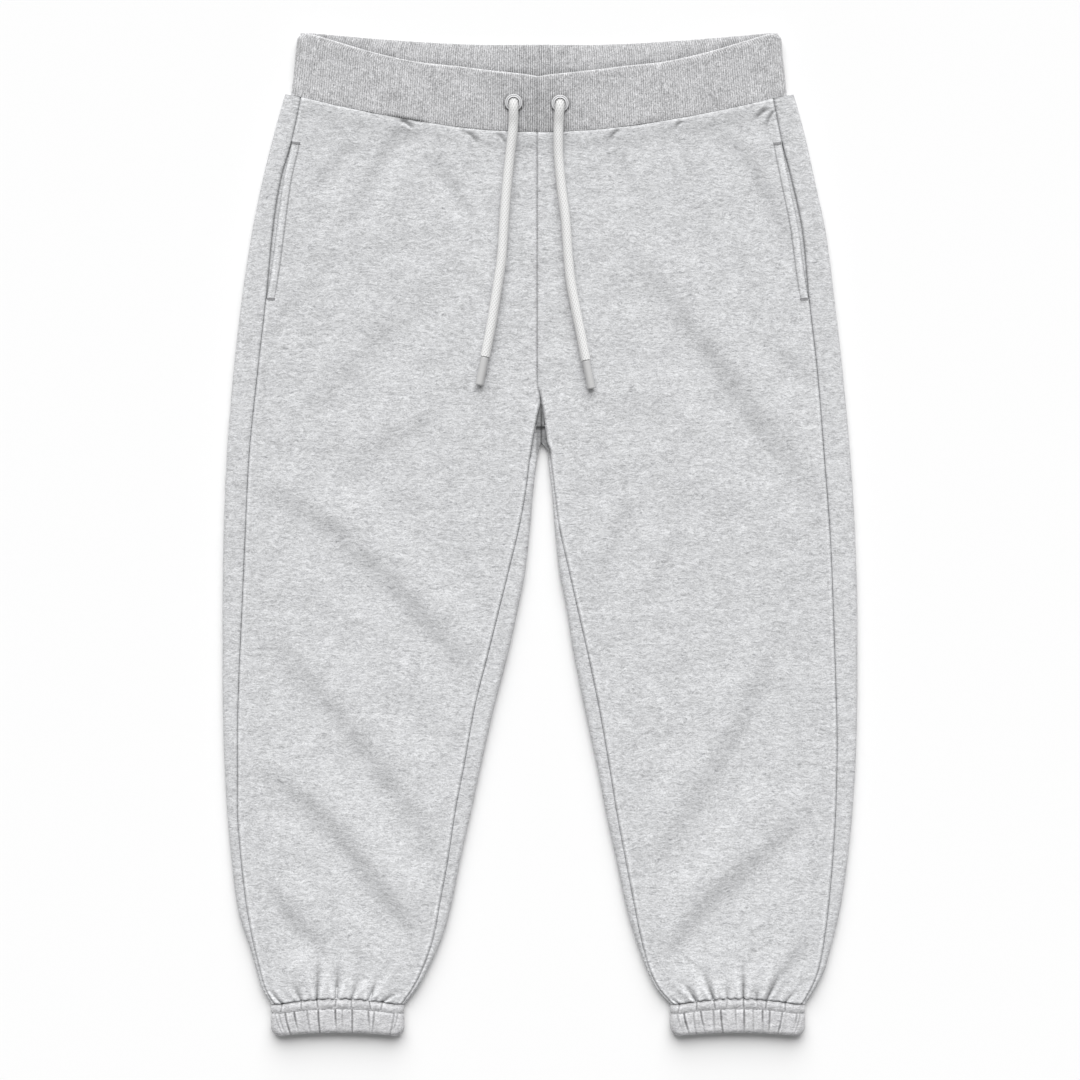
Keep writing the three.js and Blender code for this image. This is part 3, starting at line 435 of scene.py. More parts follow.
def pucker(along, distance, seed):
    """Fine cross wrinkles beside a seam."""
    wave = np.sin(2 * np.pi * along / PUCKER_PITCH + 1.3 * uneven(along, 0 * along, 31, seed, 6))
    strength = 0.55 + 0.45 * uneven(along, 0 * along, 60, seed + 1, 6)
    reach = bell(distance, PUCKER_REACH) * smooth(distance / 1.2)
    return PUCKER * wave * strength * reach


def seam_form(distance, lip):
    """How the cloth rises to a lip beside a seam and falls into it."""
    dip = SEAM_DIP * bell(distance, SEAM_DIP_WIDTH)
    return lip * bell(distance - SEAM_LIP_AT, SEAM_LIP_WIDTH) - dip


def swing(share, peak):
    """Rises from 0 to 1 at the peak and falls back to 0 at 1."""
    return np.sin(np.pi / 2 * np.minimum(share / peak, (1 - share) / (1 - peak)))


def hump(off):
    """A smooth rise of height 1 at 0, down to 0 at 1 on each side."""
    return np.cos(np.pi / 2 * np.clip(off, -1, 1)) ** 2


def fold_height(x, y):
    rise = np.zeros(np.broadcast(x, y).shape)
    for from_x, from_y, to_x, to_y, bow, bow_at, steep, gentle, height, crest, peak in FOLDS:
        run_x, run_y = to_x - from_x, to_y - from_y
        length = math.hypot(run_x, run_y)
        along = np.clip(((x - from_x) * run_x + (y - from_y) * run_y) / length**2, 0, 1)
        across = ((y - from_y) * run_x - (x - from_x) * run_y) / length - bow * swing(along, bow_at)
        past_crest, short_of_foot = across - steep / 2, -across - steep / 2
        ridge = hump(np.where(past_crest < 0, past_crest / steep, past_crest / gentle))
        trough = hump(np.where(short_of_foot < 0, short_of_foot / steep, short_of_foot / gentle))
        strength = height * swing(along, peak) ** FOLD_END_SHAPE
        rise += strength * (crest * ridge - (1 - crest) * trough)
    return rise


def pinch_form(x, y):
    """How deep the short creases under the waist are, with painted shade in their cores and painted
    highlight on their lips.
    """
    depth = np.zeros(np.broadcast(x, y).shape)
    dark = depth.copy()
    for middle_x, middle_y, length, turn, width, deep in PINCHES:
        c, s = math.cos(math.radians(turn)), math.sin(math.radians(turn))
        along = ((x - middle_x) * c + (y - middle_y) * s) / (length / 2)
        across = ((y - middle_y) * c - (x - middle_x) * s + 1.6 * along**2) / width
        lip = 0.45 * bell(across - 2.2, 1.3)
        depth += deep * np.exp(-(along**4)) * (np.exp(-np.abs(across) ** 1.4) - lip)
        dark += 0.4 * np.exp(-(along**4)) * (bell(across, 0.7) - 0.3 * lip)
    return depth, dark


def gather_form(side, x, above_cuff):
    """Depth of the sharp creases where the leg is gathered into the cuff, with painted shade in their
    cores and painted highlight on their lips.
    """
    depth = np.zeros(np.broadcast(x, above_cuff).shape)
    dark = depth.copy()
    for seam_x, reach, lean, deep in side.gathers:
        up = np.clip(above_cuff / reach, 0, 2)
        off = (x - seam_x - lean * up) / (1 + 1.2 * up)
        lips = bell(np.abs(off) - 3.4, 1.7)
        depth += deep * (1 - smooth(up / 2)) * (bell(off, 1.5) - 0.35 * lips)
        dark += deep * (1 - smooth(up / 1.7)) * (0.26 * bell(off, 0.75) - 0.06 * lips)
    return depth, dark


def roll_drop(distance, radius):
    """How far the surface of a rolled edge falls at a distance from the outline."""
    near = np.clip(distance, 0, radius)
    return radius - np.sqrt(radius**2 - (radius - near) ** 2)


def front_height(side, outward, row, y):
    """Height of the front's outer face without its seams."""
    x = side.out * outward
    from_edge = side.edge(row) - outward
    leg_share = np.clip((RISE_BLEND_Y - row) / (RISE_BLEND_Y - LEG_Y), 0, 1)
    from_inner = outward - side.inner(np.minimum(row, CROTCH_Y))
    swell = 2 * EDGE_RADIUS - FRONT_TOP
    outer_swell = swell * bell(np.maximum(from_edge - CROWN_OUTER, 0), CROWN_REACH)
    inner_swell = swell * bell(np.maximum(from_inner - CROWN_INNER, 0), CROWN_REACH) * leg_share
    fall = roll_drop(from_edge, EDGE_RADIUS) + roll_drop(from_inner, EDGE_RADIUS) * leg_share
    outer_inside = np.clip((from_edge - FOLD_CLEAR_OUTER) / FOLD_FADE, 0, 1)
    inner_inside = mix(1, np.clip((from_inner - FOLD_CLEAR_INNER) / FOLD_FADE, 0, 1), leg_share)
    inside = np.minimum(outer_inside, inner_inside)
    above_cuff = y - side.cuff_seam(x)
    cuff_puff = CUFF_PUFF * bell(np.maximum(above_cuff, 0), CUFF_PUFF_REACH) * inside
    folds = (fold_height(x, y) + UNEVEN * uneven(x, y, UNEVEN_LENGTH, 5)) * inside
    near_edge = np.clip(np.minimum(from_edge, from_inner) / 9, 0, 1)
    gathers = gather_form(side, x, above_cuff)[0] * mix(0.5 * near_edge, 1, inside)
    return FRONT_TOP + np.maximum(outer_swell, inner_swell) + folds + cuff_puff - gathers - fall


def front_inner(side, row):
    """The inner boundary of a front: the centre front seam, then the inseam."""
    centre = side.out * centre_front(row) + SEAM_GAP / 2
    return np.where(row >= CROTCH_Y, centre, side.inseam(np.minimum(row, CROTCH_Y)) + SEAM_GAP / 2)


def pocket_draw(row):
    share = np.clip((POCKET_TOP - row) / (POCKET_TOP - POCKET_FOOT), 0, 1)
    return POCKET_DRAW * np.sin(np.pi * share) ** POCKET_DRAW_SHAPE


def front_outer(side, row):
    return side.side(row) - pocket_draw(row) - SEAM_GAP / 2


def seam_distances(side, outward, row):
    """How far a place on a front is from its side seam, inner seam, waist seam and cuff seam."""
    across = (front_outer(side, row) - outward, outward - front_inner(side, row))
    return [np.maximum(off, 0) for off in (*across, WAIST_SIDE - row, row - CUFF_SIDE)]


def front_surface(side, outward, row):
    """Points of a front's outer face, with its seams, puckers and topstitched pocket edge."""
    x = side.out * outward
    y = bent_row(side, x, row, 1)
    to_outer, to_inner, to_waist, to_cuff = seam_distances(side, outward, row)
    z = front_height(side, outward, row, y) - pinch_form(x, y)[0]
    z = z + seam_form(np.minimum(to_outer, to_inner), SEAM_LIP)
    z = z + seam_form(to_cuff, 0)
    past_puff = to_waist - WAIST_PUFF_AT
    z = z + WAIST_PUFF * bell(past_puff, np.where(past_puff < 0, WAIST_PUFF_RISE, WAIST_PUFF_FALL))
    z = z + pucker(row, to_outer, 21) + pucker(row, to_inner, 31)
    z = z + 1.2 * pucker(x, to_waist, 41)
    in_mouth = smooth(pocket_draw(row) / 2)
    z = z + MOUTH_LIFT * in_mouth * bell(to_outer, MOUTH_LIFT_REACH)
    z = z - TOPSTITCH_DIP * in_mouth * bell(to_outer - TOPSTITCH_IN, TOPSTITCH_WIDTH)
    return np.stack(np.broadcast_arrays(x, y, z), -1)


def waist_shadow(x, off, width):
    """Painted shadow of the short fold where one front tucks under the waistband."""
    reach = np.exp(-(((x - WAIST_SHADOW_X) / WAIST_SHADOW_HALF) ** 4))
    return WAIST_SHADOW_DARK * (reach * bell(off, width))


def seam_shade(distance, dark, bright):
    """Painted shade in a seam, and a painted highlight on the lip beside it."""
    lip = bell(distance - SEAM_PAINTED_HIGHLIGHT_AT, SEAM_PAINTED_HIGHLIGHT_WIDTH)
    return dark * bell(distance, SEAM_PAINTED_SHADE_WIDTH) - SEAM_PAINTED_HIGHLIGHT * lip * bright


def front_shade(side, outward, row, points):
    """Painted shade in the cloth's creases and seams, and painted highlight on their lips."""
    x, y = points[..., 0], points[..., 1]
    to_outer, to_inner, to_waist, to_cuff = seam_distances(side, outward, row)
    in_mouth = smooth(pocket_draw(row) / 2)
    at_outer = seam_shade(to_outer, SEAM_PAINTED_SHADE, 1)
    # Painted shade in the centre front seam, deeper near the crotch
    centre_dark = CENTRE_SEAM_PAINTED_SHADE + 0.4 * smooth((150 - row) / 25)
    inner_dark = np.where(row > CROTCH_Y, centre_dark, SEAM_PAINTED_SHADE)
    at_inner = seam_shade(to_inner, inner_dark, row < CROTCH_Y)
    # Painted shade in the pocket's topstitch groove, and painted highlight on the strip beside the
    # pocket's mouth
    at_mouth = 0.42 * bell(to_outer - TOPSTITCH_IN, 0.75) - 0.16 * bell(to_outer - 2.4, 2.6)
    # The last term is painted shade along the cuff seam
    dark = mix(at_outer, at_mouth, in_mouth) + at_inner + 0.4 * bell(to_cuff, 0.8)
    near_edge = np.clip(np.minimum(to_outer, to_inner) / 6, 0, 1)
    gathers = gather_form(side, x, y - side.cuff_seam(x))[1] * near_edge
    return dark + waist_shadow(x, to_waist, 1.4) + pinch_form(x, y)[1] + gathers


def roll_points(outline, seam, inward, along_shares):
    """Points along a rolled edge, from a seam on top, round the edge and to the foot of the roll.
    Returns their outward places, their heights, the way they look and their distance from the seam."""
    distance = np.abs(outline - seam)[:, None]
    flat = np.maximum(distance - EDGE_RADIUS, 0)
    start = np.arcsin(np.clip(1 - distance / EDGE_RADIUS, 0, 1))
    along = along_shares[None, :] * (flat + EDGE_RADIUS * (np.pi - start))
    angle = np.where(along < flat, 0, start + (along - flat) / EDGE_RADIUS)
    off = np.where(along < flat, distance - along, EDGE_RADIUS * (1 - np.sin(angle)))
    height = EDGE_RADIUS * (1 + np.cos(angle))
    return outline[:, None] + inward * off, height, angle, along


def in_wedge(y):
    """How far a row is inside the wedge between the inseams, from 0 to 1."""
    return smooth((y - WEDGE_FOOT) / 22) * smooth((WEDGE_TOP - y) / 6)


def back_shade(side, points):
    """Painted shade on the backs at their seams, and in the sunken wedge where the legs meet, darker
    along its seam and crease.
    """
    x, y, z = points[..., 0], points[..., 1], points[..., 2]
    outward = side.out * x
    on_roll = smooth((z - 1.5 * EDGE_RADIUS) / 1.5)
    inseam = side.inseam(np.minimum(y, CROTCH_Y))
    to_seam = np.minimum(np.abs(outward - side.side(y)), np.abs(outward - inseam))
    sunk = in_wedge(y) * smooth((14 - np.abs(x)) / 4) * smooth((z - 1) / 2)
    crease = bell(y - WEDGE_CREASE_Y, 1.5) * smooth((7 - np.abs(x)) / 2)
    deep = mix(1, mix(0.2, 1, smooth((x + 5) / 2.5)), smooth((98 - y) / 5))
    wedge = WEDGE_PAINTED_SHADE * deep + 0.25 * bell(x - WEDGE_SEAM_X, 0.8) + 0.6 * crease
    return SEAM_PAINTED_SHADE * bell(to_seam, 0.8) * on_roll * (1 - sunk) + sunk * np.minimum(wedge, 0.93)


def back_surface(side, rows, roll_shares, foot_shares, inset):
    """Sections of a back panel, from the side seam round the edge, under the leg and up to the inseam.
    An inset moves the face inward, for the inside of the cloth."""

    def rolled(outline, seam, inward, seed):
        x, z, angle, along = roll_points(outline, seam, inward, roll_shares)
        lift = -inset + 0 * along
        if inset == 0:
            lift = seam_form(along, BACK_LIP) + BACK_PUCKER_SHARE * pucker(rows[:, None], along, seed)
        return x - inward * lift * np.sin(angle), z + lift * np.cos(angle)

    outer_x, outer_z = rolled(side.edge(rows), side.side(rows) + SEAM_GAP / 2, -1, 51)
    leg_rows = np.minimum(rows, CROTCH_Y)
    leg_inner = side.inner(leg_rows) + np.where(leg_rows > LEGS_PART_Y, SEAM_GAP / 2, 0)
    leg_seam = np.maximum(side.inseam(leg_rows) - SEAM_GAP / 2, leg_inner)
    in_x, in_z = rolled(leg_inner, leg_seam, 1, 61)
    in_z = in_z - WEDGE_DEPTH * in_wedge(rows)[:, None] * smooth((in_z - EDGE_RADIUS) / EDGE_RADIUS)
    above = RISE_BLEND * smooth((RISE_BLEND_Y - rows) / (RISE_BLEND_Y - CROTCH_Y))
    below = mix(RISE_BLEND, 1, np.clip((CROTCH_Y - rows) / (CROTCH_Y - LEG_Y), 0, 1))
    rise = np.where(rows > CROTCH_Y, above, below)[:, None]
    flat = side.centre + SEAM_GAP / 2 + BACK_CENTRE_WIDTH * roll_shares[None, :]
    inner_x = mix(flat, in_x, rise)[:, ::-1]
    inner_z = mix(inset, in_z, rise)[:, ::-1]

    foot_x = mix(outer_x[:, -1:], inner_x[:, :1], foot_shares[None, :])
    foot_z = np.full(foot_x.shape, float(inset))
    outward = np.concatenate([outer_x, foot_x, inner_x], 1)
    z = np.maximum(np.concatenate([outer_z, foot_z, inner_z], 1), 0)
    x = side.out * outward
    y = bent_row(side, x, rows[:, None], smooth((z - 3) / 3.2))
    if inset == 0:
        under = smooth((foot_x - inner_x[:, :1]) / 25) * smooth((outer_x[:, -1:] - foot_x) / 25)
        creases = np.maximum(fold_height(-side.out * foot_x, y[:, :1] + 18), 0)
        first = outer_x.shape[1]
        z[:, first : first + foot_x.shape[1]] += UNDERSIDE_CREASE * 0.5 * creases * under
    return np.stack([x, y, z], -1)


def put(name, data):
    """Puts an object into the scene."""
    thing = bpy.data.objects.new(name, data)
    bpy.context.scene.collection.objects.link(thing)
    return thing


class Shell:
    """Collects points and faces, and makes a smooth mesh of them."""

    def __init__(self):
        self.points = []
        self.shades = []
        self.faces = []
        self.count = 0

    def add(self, points, shade=0):
        """Adds points, each darker by its painted shade, and returns their numbers in the same shape."""
        points = np.asarray(points, float)
        flat = points.reshape(-1, 3)
        numbers = np.arange(self.count, self.count + len(flat)).reshape(points.shape[:-1])
        self.points.append(flat)
        self.shades.append(np.broadcast_to(shade, points.shape[:-1]).reshape(-1))
        self.count += len(flat)
        return numbers

    def cover(self, numbers, flip=False):
        """Covers a grid of numbered points with quads."""
        a, b = numbers[:-1, :-1], numbers[1:, :-1]
        c, d = numbers[1:, 1:], numbers[:-1, 1:]
        order = [a, d, c, b] if flip else [a, b, c, d]
        self.faces.extend(np.stack(order, -1).reshape(-1, 4).tolist())

    def bridge(self, first, second, flip=False):
        """Joins two rows of numbered points, of any counts, with triangles."""
        points = np.concatenate(self.points)
        shares = []
        for row in (first, second):
            steps = np.linalg.norm(np.diff(points[row], axis=0), axis=1)
            sums = np.concatenate([[0], np.cumsum(steps)])
            shares.append(sums / sums[-1])
        i = j = 0
        while i < len(first) - 1 or j < len(second) - 1:
            last_second = j == len(second) - 1
            on_first = last_second or (i < len(first) - 1 and shares[0][i + 1] <= shares[1][j + 1])
            following = first[i + 1] if on_first else second[j + 1]
            face = [first[i], following, second[j]]
            self.faces.append([int(n) for n in (face[::-1] if flip else face)])
            i, j = (i + 1, j) if on_first else (i, j + 1)

    def make(self, name, material):
        mesh = bpy.data.meshes.new(name)
        mesh.from_pydata((np.concatenate(self.points) * MM).tolist(), [], self.faces)
        # Painted shade of each point, below 0 for painted highlight, for the materials to read
        shade = mesh.attributes.new("shade", "FLOAT", "POINT")
        shade.data.foreach_set("value", np.concatenate(self.shades).astype(np.float32))
        mesh.validate()
        mesh.materials.append(material)
        mesh.shade_smooth()
        mesh.set_sharp_from_angle(angle=math.radians(60))
        return put(name, mesh)


def wall(name, outer, inner, material, flip, shade=0):
    """A closed wall of cloth between a fine outer face and a coarse inner face."""
    shell = Shell()
    top, under = shell.add(outer, shade), shell.add(inner)
    shell.cover(top, flip)
    shell.cover(under, not flip)
    shell.bridge(top[0], under[0], flip)
    shell.bridge(top[-1], under[-1], not flip)
    shell.bridge(top[:, 0], under[:, 0], not flip)
    shell.bridge(top[:, -1], under[:, -1], flip)
    return shell.make(name, material)


def loft(name, rings, material, flip, shade=0):
    """A closed form through closed rings of equal counts, from the last ring back to the first."""
    shell = Shell()
    numbers = shell.add(rings, shade)
    numbers = np.concatenate([numbers, numbers[:1]], 0)
    numbers = np.concatenate([numbers, numbers[:, :1]], 1)
    shell.cover(numbers, flip)
    return shell.make(name, material)


def eased(count, near):
    """Shares from 0 to 1, closer together at both ends."""
    t = np.linspace(0, 1, count)
    return mix(t, smooth(t), near)


def rows_of(step, fine_step):
    """Rows from the waist seam to the cuff seam, close together at both ends."""
    waist = WAIST_SIDE - SEAM_GAP / 2
    cuff = CUFF_SIDE + SEAM_GAP / 2
    top = np.arange(waist, waist - 30, -fine_step)
    foot = np.arange(cuff, cuff + 50, fine_step)[::-1]
    middle = np.arange(top[-1] - step, foot[0] + step / 2, -step)
    return np.concatenate([top, middle, foot])


def stands_for(piece, nodes):
    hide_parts(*nodes)
    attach(piece, "root")
    return piece


def front_panel(side, material):
    rows = rows_of(*FRONT_ROWS)[:, None]
    shares = eased(FRONT_COLUMNS, 0.65)[None, :]
    outward = mix(front_outer(side, rows), front_inner(side, rows), shares)
    outer = front_surface(side, outward, rows)
    few_rows = rows_of(*INSIDE_ROWS)[:, None]
    few_rows[-1] = rows[-1]
    few = mix(front_outer(side, few_rows), front_inner(side, few_rows), eased(12, 0.5)[None, :])
    inner = front_surface(side, few, few_rows)
    height = front_height(side, few, few_rows, inner[..., 1])
    inner[..., 2] = np.maximum(height - CLOTH, INSIDE_LOWEST)
    shade = front_shade(side, outward, rows, outer)
    piece = wall(f"front_panel_{side.name}", outer, inner, material, side.out > 0, shade)
    return stands_for(piece, [f"front_{side.name}"])


def back_panel(side, material):
    rows = rows_of(*BACK_ROWS)
    few_rows = rows_of(*INSIDE_ROWS)
    few_rows[-1] = rows[-1]
    outer = back_surface(side, rows, eased(24, 0.4), eased(34, 0)[1:-1], 0)
    inner = back_surface(side, few_rows, eased(7, 0), eased(6, 0)[1:-1], CLOTH)
    piece = wall(f"back_panel_{side.name}", outer, inner, material, side.out < 0, back_shade(side, outer))
    return stands_for(piece, [f"back_{side.name}"])


class Ring:
    """Places round a flat tube: its front, one rolled edge, its back and the other edge."""

    def __init__(self, front, edge, back):
        turn = np.linspace(0, np.pi, edge, endpoint=False)
        there = np.linspace(-1, 1, front, endpoint=False)
        home = np.linspace(1, -1, back, endpoint=False)
        self.flat = np.concatenate([there, np.ones(edge), home, -np.ones(edge)])
        self.angle = np.concatenate([np.zeros(front), turn, np.full(back, np.pi), np.pi - turn])
        self.sign = np.sign(self.flat + 1e-9)
        self.roll = self.angle / np.pi

    def points(self, middle, half, low, high, lift, height_at):
        radius = (high - low) / 2
        level = (high + low) / 2
        x = middle + self.flat * (half - radius) + self.sign * (radius + lift) * np.sin(self.angle)
        z = level + (radius + lift) * np.cos(self.angle)
        return np.stack([x, height_at(x, self.roll), np.maximum(z, 0)], -1)


def tube_rings(ring_at, shares, thick, rim_rise, inner_count):
    """Rings of a flat tube along its outer face, round its rim and back along its inner face."""
    rings = [ring_at(share, 0, 0) for share in shares]
    for turn in np.linspace(0, np.pi, RIM_TURNS)[1:-1]:
        rings.append(ring_at(1, thick / 2 * (1 - math.cos(turn)), rim_rise * math.sin(turn)))
    rings += [ring_at(share, thick, 0) for share in np.linspace(1, 0, inner_count)]
    return (np.array(part) for part in zip(*rings))


def waistband(material):
    ring = Ring(BAND_RIBS * RIB_STEPS, BAND_EDGE_RIBS * RIB_STEPS, BAND_RIBS * RIB_STEPS)
    rib = np.cos(2 * np.pi * np.arange(len(ring.flat)) / RIB_STEPS)
    on_front = ring.roll < 0.5

    def ring_at(share, inset, past_rim):
        def height_at(x, roll):
            notch = 1.3 * np.exp(-np.abs(x - BAND_CENTRE) / 9) * (1 - roll)
            x = np.abs(x)
            seam = mix(front_seam(x), back_seam(x), roll)
            rim = mix(front_rim(x), back_rim(x), roll) - BAND_WALL / 2 - notch
            return mix(seam + 0.15, rim, share) + past_rim

        half = mix(BAND_HALF_SEAM, BAND_HALF_RIM, share) - inset
        half = half - BAND_CORNER_ROUND * bell(1 - share, 0.04)
        near_seam = np.clip(1 - share / BAND_SEAM_ROUND, 0, 1)
        dip = 0 if inset else BAND_SEAM_DIP * near_seam**2
        low, high = inset, BAND_HEIGHT - inset - dip
        outer = ring.points(BAND_SHIFT, half, low, high, 0 * rib, height_at)
        x, y = outer[:, 0], outer[:, 1]
        middle = bell(x - BAND_CENTRE, 34)
        strength = 0.75 + 0.25 * uneven(x, y, 9, 71)
        lift = RIB_RISE * rib * strength
        # Painted shade in the grooves between the ribs, deeper in the middle of the band
        groove = np.clip(0.85 + 0.15 * uneven(x, y, 11, 73) + 0.5 * middle, 0.2, 1.5)
        dark = RIB_PAINTED_SHADE * (0.5 - 0.5 * rib) * groove
        if inset == 0:
            lift = lift + 0.2 * bell(share - 0.93, 0.06) + 0.22 * uneven(x, y, 38, 72)
            lift = lift - 0.4 * on_front * bell(x - BAND_CENTRE, 0.9)
            lift = np.where(ring.roll > 0.9, 0, lift)
            # Painted shade along the centre front, over the middle of the band and under the short fold
            dark = dark + 0.07 * on_front * bell(x - BAND_CENTRE, 1.1)
            dark = dark + BAND_MIDDLE_PAINTED_SHADE * middle * on_front * smooth((0.95 - share) / 0.3)
            dark = dark + on_front * waist_shadow(x, share, 0.03)
        else:
            # Painted shadow inside the back just behind the front rim, painted shade on the turned rims,
            # most on the back's, and the inside painted a touch lighter
            shadow_behind_rim = 0.3 * bell(np.maximum(y - front_rim(np.abs(x)), 0), 3.5) * ring.roll
            on_rim = min(past_rim, 1)
            rim_painted_shade = BAND_RIM_PAINTED_SHADE + 0.2 * ring.roll
            dark = dark * mix(1, 0.2, on_rim) + mix(BAND_INSIDE_PAINTED_SHADE + shadow_behind_rim, rim_painted_shade, on_rim)
        points = ring.points(BAND_SHIFT, half, low, high, lift, height_at)
        if inset == 0:
            for hole_x, hole_y in EYELET_PLACES.values():
                away = np.hypot(x - hole_x, y - hole_y)
                pit = 3.2 * (1 - smooth((away - EYELET_HOLE) / 1.6)) * on_front
                points[:, 2] -= pit
                # Painted shadow in a ring round each eyelet, darker below it
                below = 0.6 - 0.4 * (y - hole_y) / np.maximum(away, 1)
                dark = dark + 0.5 * on_front * below * bell(away - EYELET_FLANGE - 0.4, 1.3)
        return points, dark

    points, shade = tube_rings(ring_at, eased(38, 0.35), BAND_WALL, BAND_WALL / 2, 10)
    piece = loft("waistband_rib", points, material, True, shade)
    return stands_for(piece, ["waistband"])


def cuff_tube(side, material):
    ring = Ring(*CUFF_POINTS)
    middle = side.out * side.cuff_middle
    dip_at, inset_at = curve_of(CUFF_SECTIONS, 1), curve_of(CUFF_SECTIONS, 2)

    def ring_at(share, inset, past_foot):
        half = side.cuff_half - inset_at(share) - inset

        def height_at(x, roll):
            foot = CUFF_FOOT + CUFF_FOOT_RISE * (1 - ((x - middle) / side.cuff_half) ** 2)
            seam = np.where(roll < 0.5, side.cuff_seam(x), CUFF_SIDE)
            return mix(seam - 0.35, foot + CUFF_FOOT_ROUND, share) - past_foot

        low, high = inset, CUFF_HEIGHT - dip_at(share) - inset
        plain = ring.points(middle, half, low, high, 0 * ring.flat, height_at)
        x = plain[:, 0]
        lift, dark = 0 * x, 0 * x
        # Creases of the cuff, with painted shade in their cores and painted highlight on their lips
        for number, (crease_x, lean, depth) in enumerate(side.creases):
            peak = 0.42 + 0.16 * (number % 3)
            run = smooth((share - CUFF_STITCH_SHARE) / 0.08) * bell(max(share - peak, 0), 0.42)
            curve = lean * max(share - CUFF_STITCH_SHARE, 0) ** 1.5 / 0.62
            off = np.abs(x - crease_x - curve) / CUFF_CREASE_WIDTH
            lip = bell(off - 2.4, 1.1)
            lift = lift - 0.75 * depth * run * (np.exp(-(off**1.4)) - 0.35 * lip)
            dark = dark + 0.3 * depth * run * (bell(off, 0.8) - 0.22 * lip)
        strip = smooth((CUFF_STITCH_SHARE - share) / 0.05)
        # Creases of the strip above the stitch row, with painted shade and highlight in the same way
        for number, (crease_x, _, _, depth) in enumerate(side.gathers):
            off = np.abs(x - crease_x - (number % 3 - 1) * 5 * share) / CUFF_CREASE_WIDTH
            lift = lift - 0.3 * depth * strip * bell(off, 1)
            dark = dark + 0.17 * depth * strip * (bell(off, 0.8) - 0.3 * bell(off - 2.2, 1))
        height = share * (CUFF_SIDE - CUFF_FOOT)
        from_stitch = height - CUFF_STITCH_SHARE * (CUFF_SIDE - CUFF_FOOT)
        # Painted shade along the seam and in the dips of the stitch row
        dashes = 0.75 + 0.25 * np.sin(2 * np.pi * x / STITCH_PITCH)
        dark = dark + 0.38 * bell(height, 1.0) + 0.42 * dashes * bell(from_stitch, 0.75)
        # Painted light on the rolled foot, which faces away from the lamp
        dark = dark - 0.18 * smooth((share - 0.93) / 0.06)
        fine = uneven(x, share * 6 + 0 * x, 7.5, 81)
        lift = lift + (0.14 + 0.12 * strip) * fine + 0.2 * uneven(x, 0 * x, 16, 82)
        on_back = ring.roll > 0.9
        lift = np.where(on_back, np.minimum(lift, 0) * 0.6, lift)
        if inset:
            lift = lift * 0.3
        return ring.points(middle, half, low, high, lift, height_at), np.where(on_back, 0, dark)

    shares = np.linspace(0, 1, CUFF_RINGS)
    points, shade = tube_rings(ring_at, shares, CUFF_WALL, CUFF_FOOT_ROUND, 8)
    piece = loft(f"cuff_elastic_{side.name}", points, material, False, shade)
    return stands_for(piece, [f"cuff_{side.name}"]), points


def pocket_facing(side, material):
    rows = np.linspace(POCKET_TOP, POCKET_FOOT, 90)[:, None]
    columns = np.linspace(FACING_UNDER_BACK, -FACING_UNDER_FRONT, 20)[None, :]
    outward = side.side(rows) + columns
    x = side.out * outward
    y = bent_row(side, x, rows, 1)
    under = np.minimum(front_height(side, outward, rows, y), 2 * EDGE_RADIUS) - CLOTH
    outer = np.stack(np.broadcast_arrays(x, y, under - FACING_LOWER), -1)
    inner = outer[::6, ::6].copy()
    inner[..., 2] -= FACING_THICK
    inner[-1, :, :2] = outer[-1, ::6, :2]
    past_edge = outward - front_outer(side, rows)
    # Painted shadow in the pocket's mouth, darkest by the side seam, with a thin line under the front's
    # folded edge
    opening_shadow = 0.5 * bell(outward - side.side(rows), 1.0) + 0.25 * bell(past_edge, 0.7)
    piece = wall(f"pocket_lining_{side.name}", outer, inner, material, side.out > 0, opening_shadow)
    return stands_for(piece, [f"pocket_facing_{side.name}"])


def turned(name, profile, sides, material, place=(0, 0, 0), axis=(0, 0, 1)):
    """A form turned round an axis, from (radius, height, shade) rows. A shade of 0 may be left out."""
    angle = np.linspace(0, 2 * np.pi, sides, endpoint=False)
    axis = unit(np.array(axis, float))
    across = unit(np.cross(axis, [1, 0, 0] if abs(axis[0]) < 0.9 else [0, 1, 0]))
    other = np.cross(axis, across)
    shell = Shell()
    radius, height, shade = np.array([(*row, 0)[:3] for row in profile], float).T
    ring = np.cos(angle)[:, None] * across + np.sin(angle)[:, None] * other
    points = np.array(place) + radius[:, None, None] * ring + height[:, None, None] * axis
    numbers = shell.add(points, shade[:, None])
    shell.cover(np.concatenate([numbers, numbers[:, :1]], 1), False)
    return shell.make(name, material)


def eyelet(name, place, material):
    """A light metal ring with a rolled rim and a fine groove round its flange, with painted shade in the
    groove, round the flange's edge and down its barrel and hole.
    """
    turn = np.linspace(0, np.pi, 9)
    rim = [(EYELET_HOLE + 0.65 - 0.65 * math.cos(t), EYELET_BASE + 0.7 + 0.6 * math.sin(t)) for t in turn]
    outer = [
        (6.45, EYELET_BASE + 0.4, 0.35),
        (6.75, EYELET_BASE + 0.4, 0.35),
        (7.0, EYELET_BASE + 0.7),
        (7.3, EYELET_BASE + 0.85),
        (7.7, EYELET_BASE + 0.75),
        (8.0, EYELET_BASE + 0.45, 0.25),
        (EYELET_FLANGE, EYELET_BASE, 0.6),
        (EYELET_BARREL, EYELET_BASE, 0.6),
        (EYELET_BARREL, EYELET_FOOT, 0.6),
        (EYELET_HOLE, EYELET_FOOT, 0.6),
        (EYELET_HOLE, EYELET_BASE, 0.6),
    ]
    piece = turned(f"eyelet_ring_{name}", rim + outer, 64, material, (*place, 0))
    return stands_for(piece, [f"eyelet_{name}"])


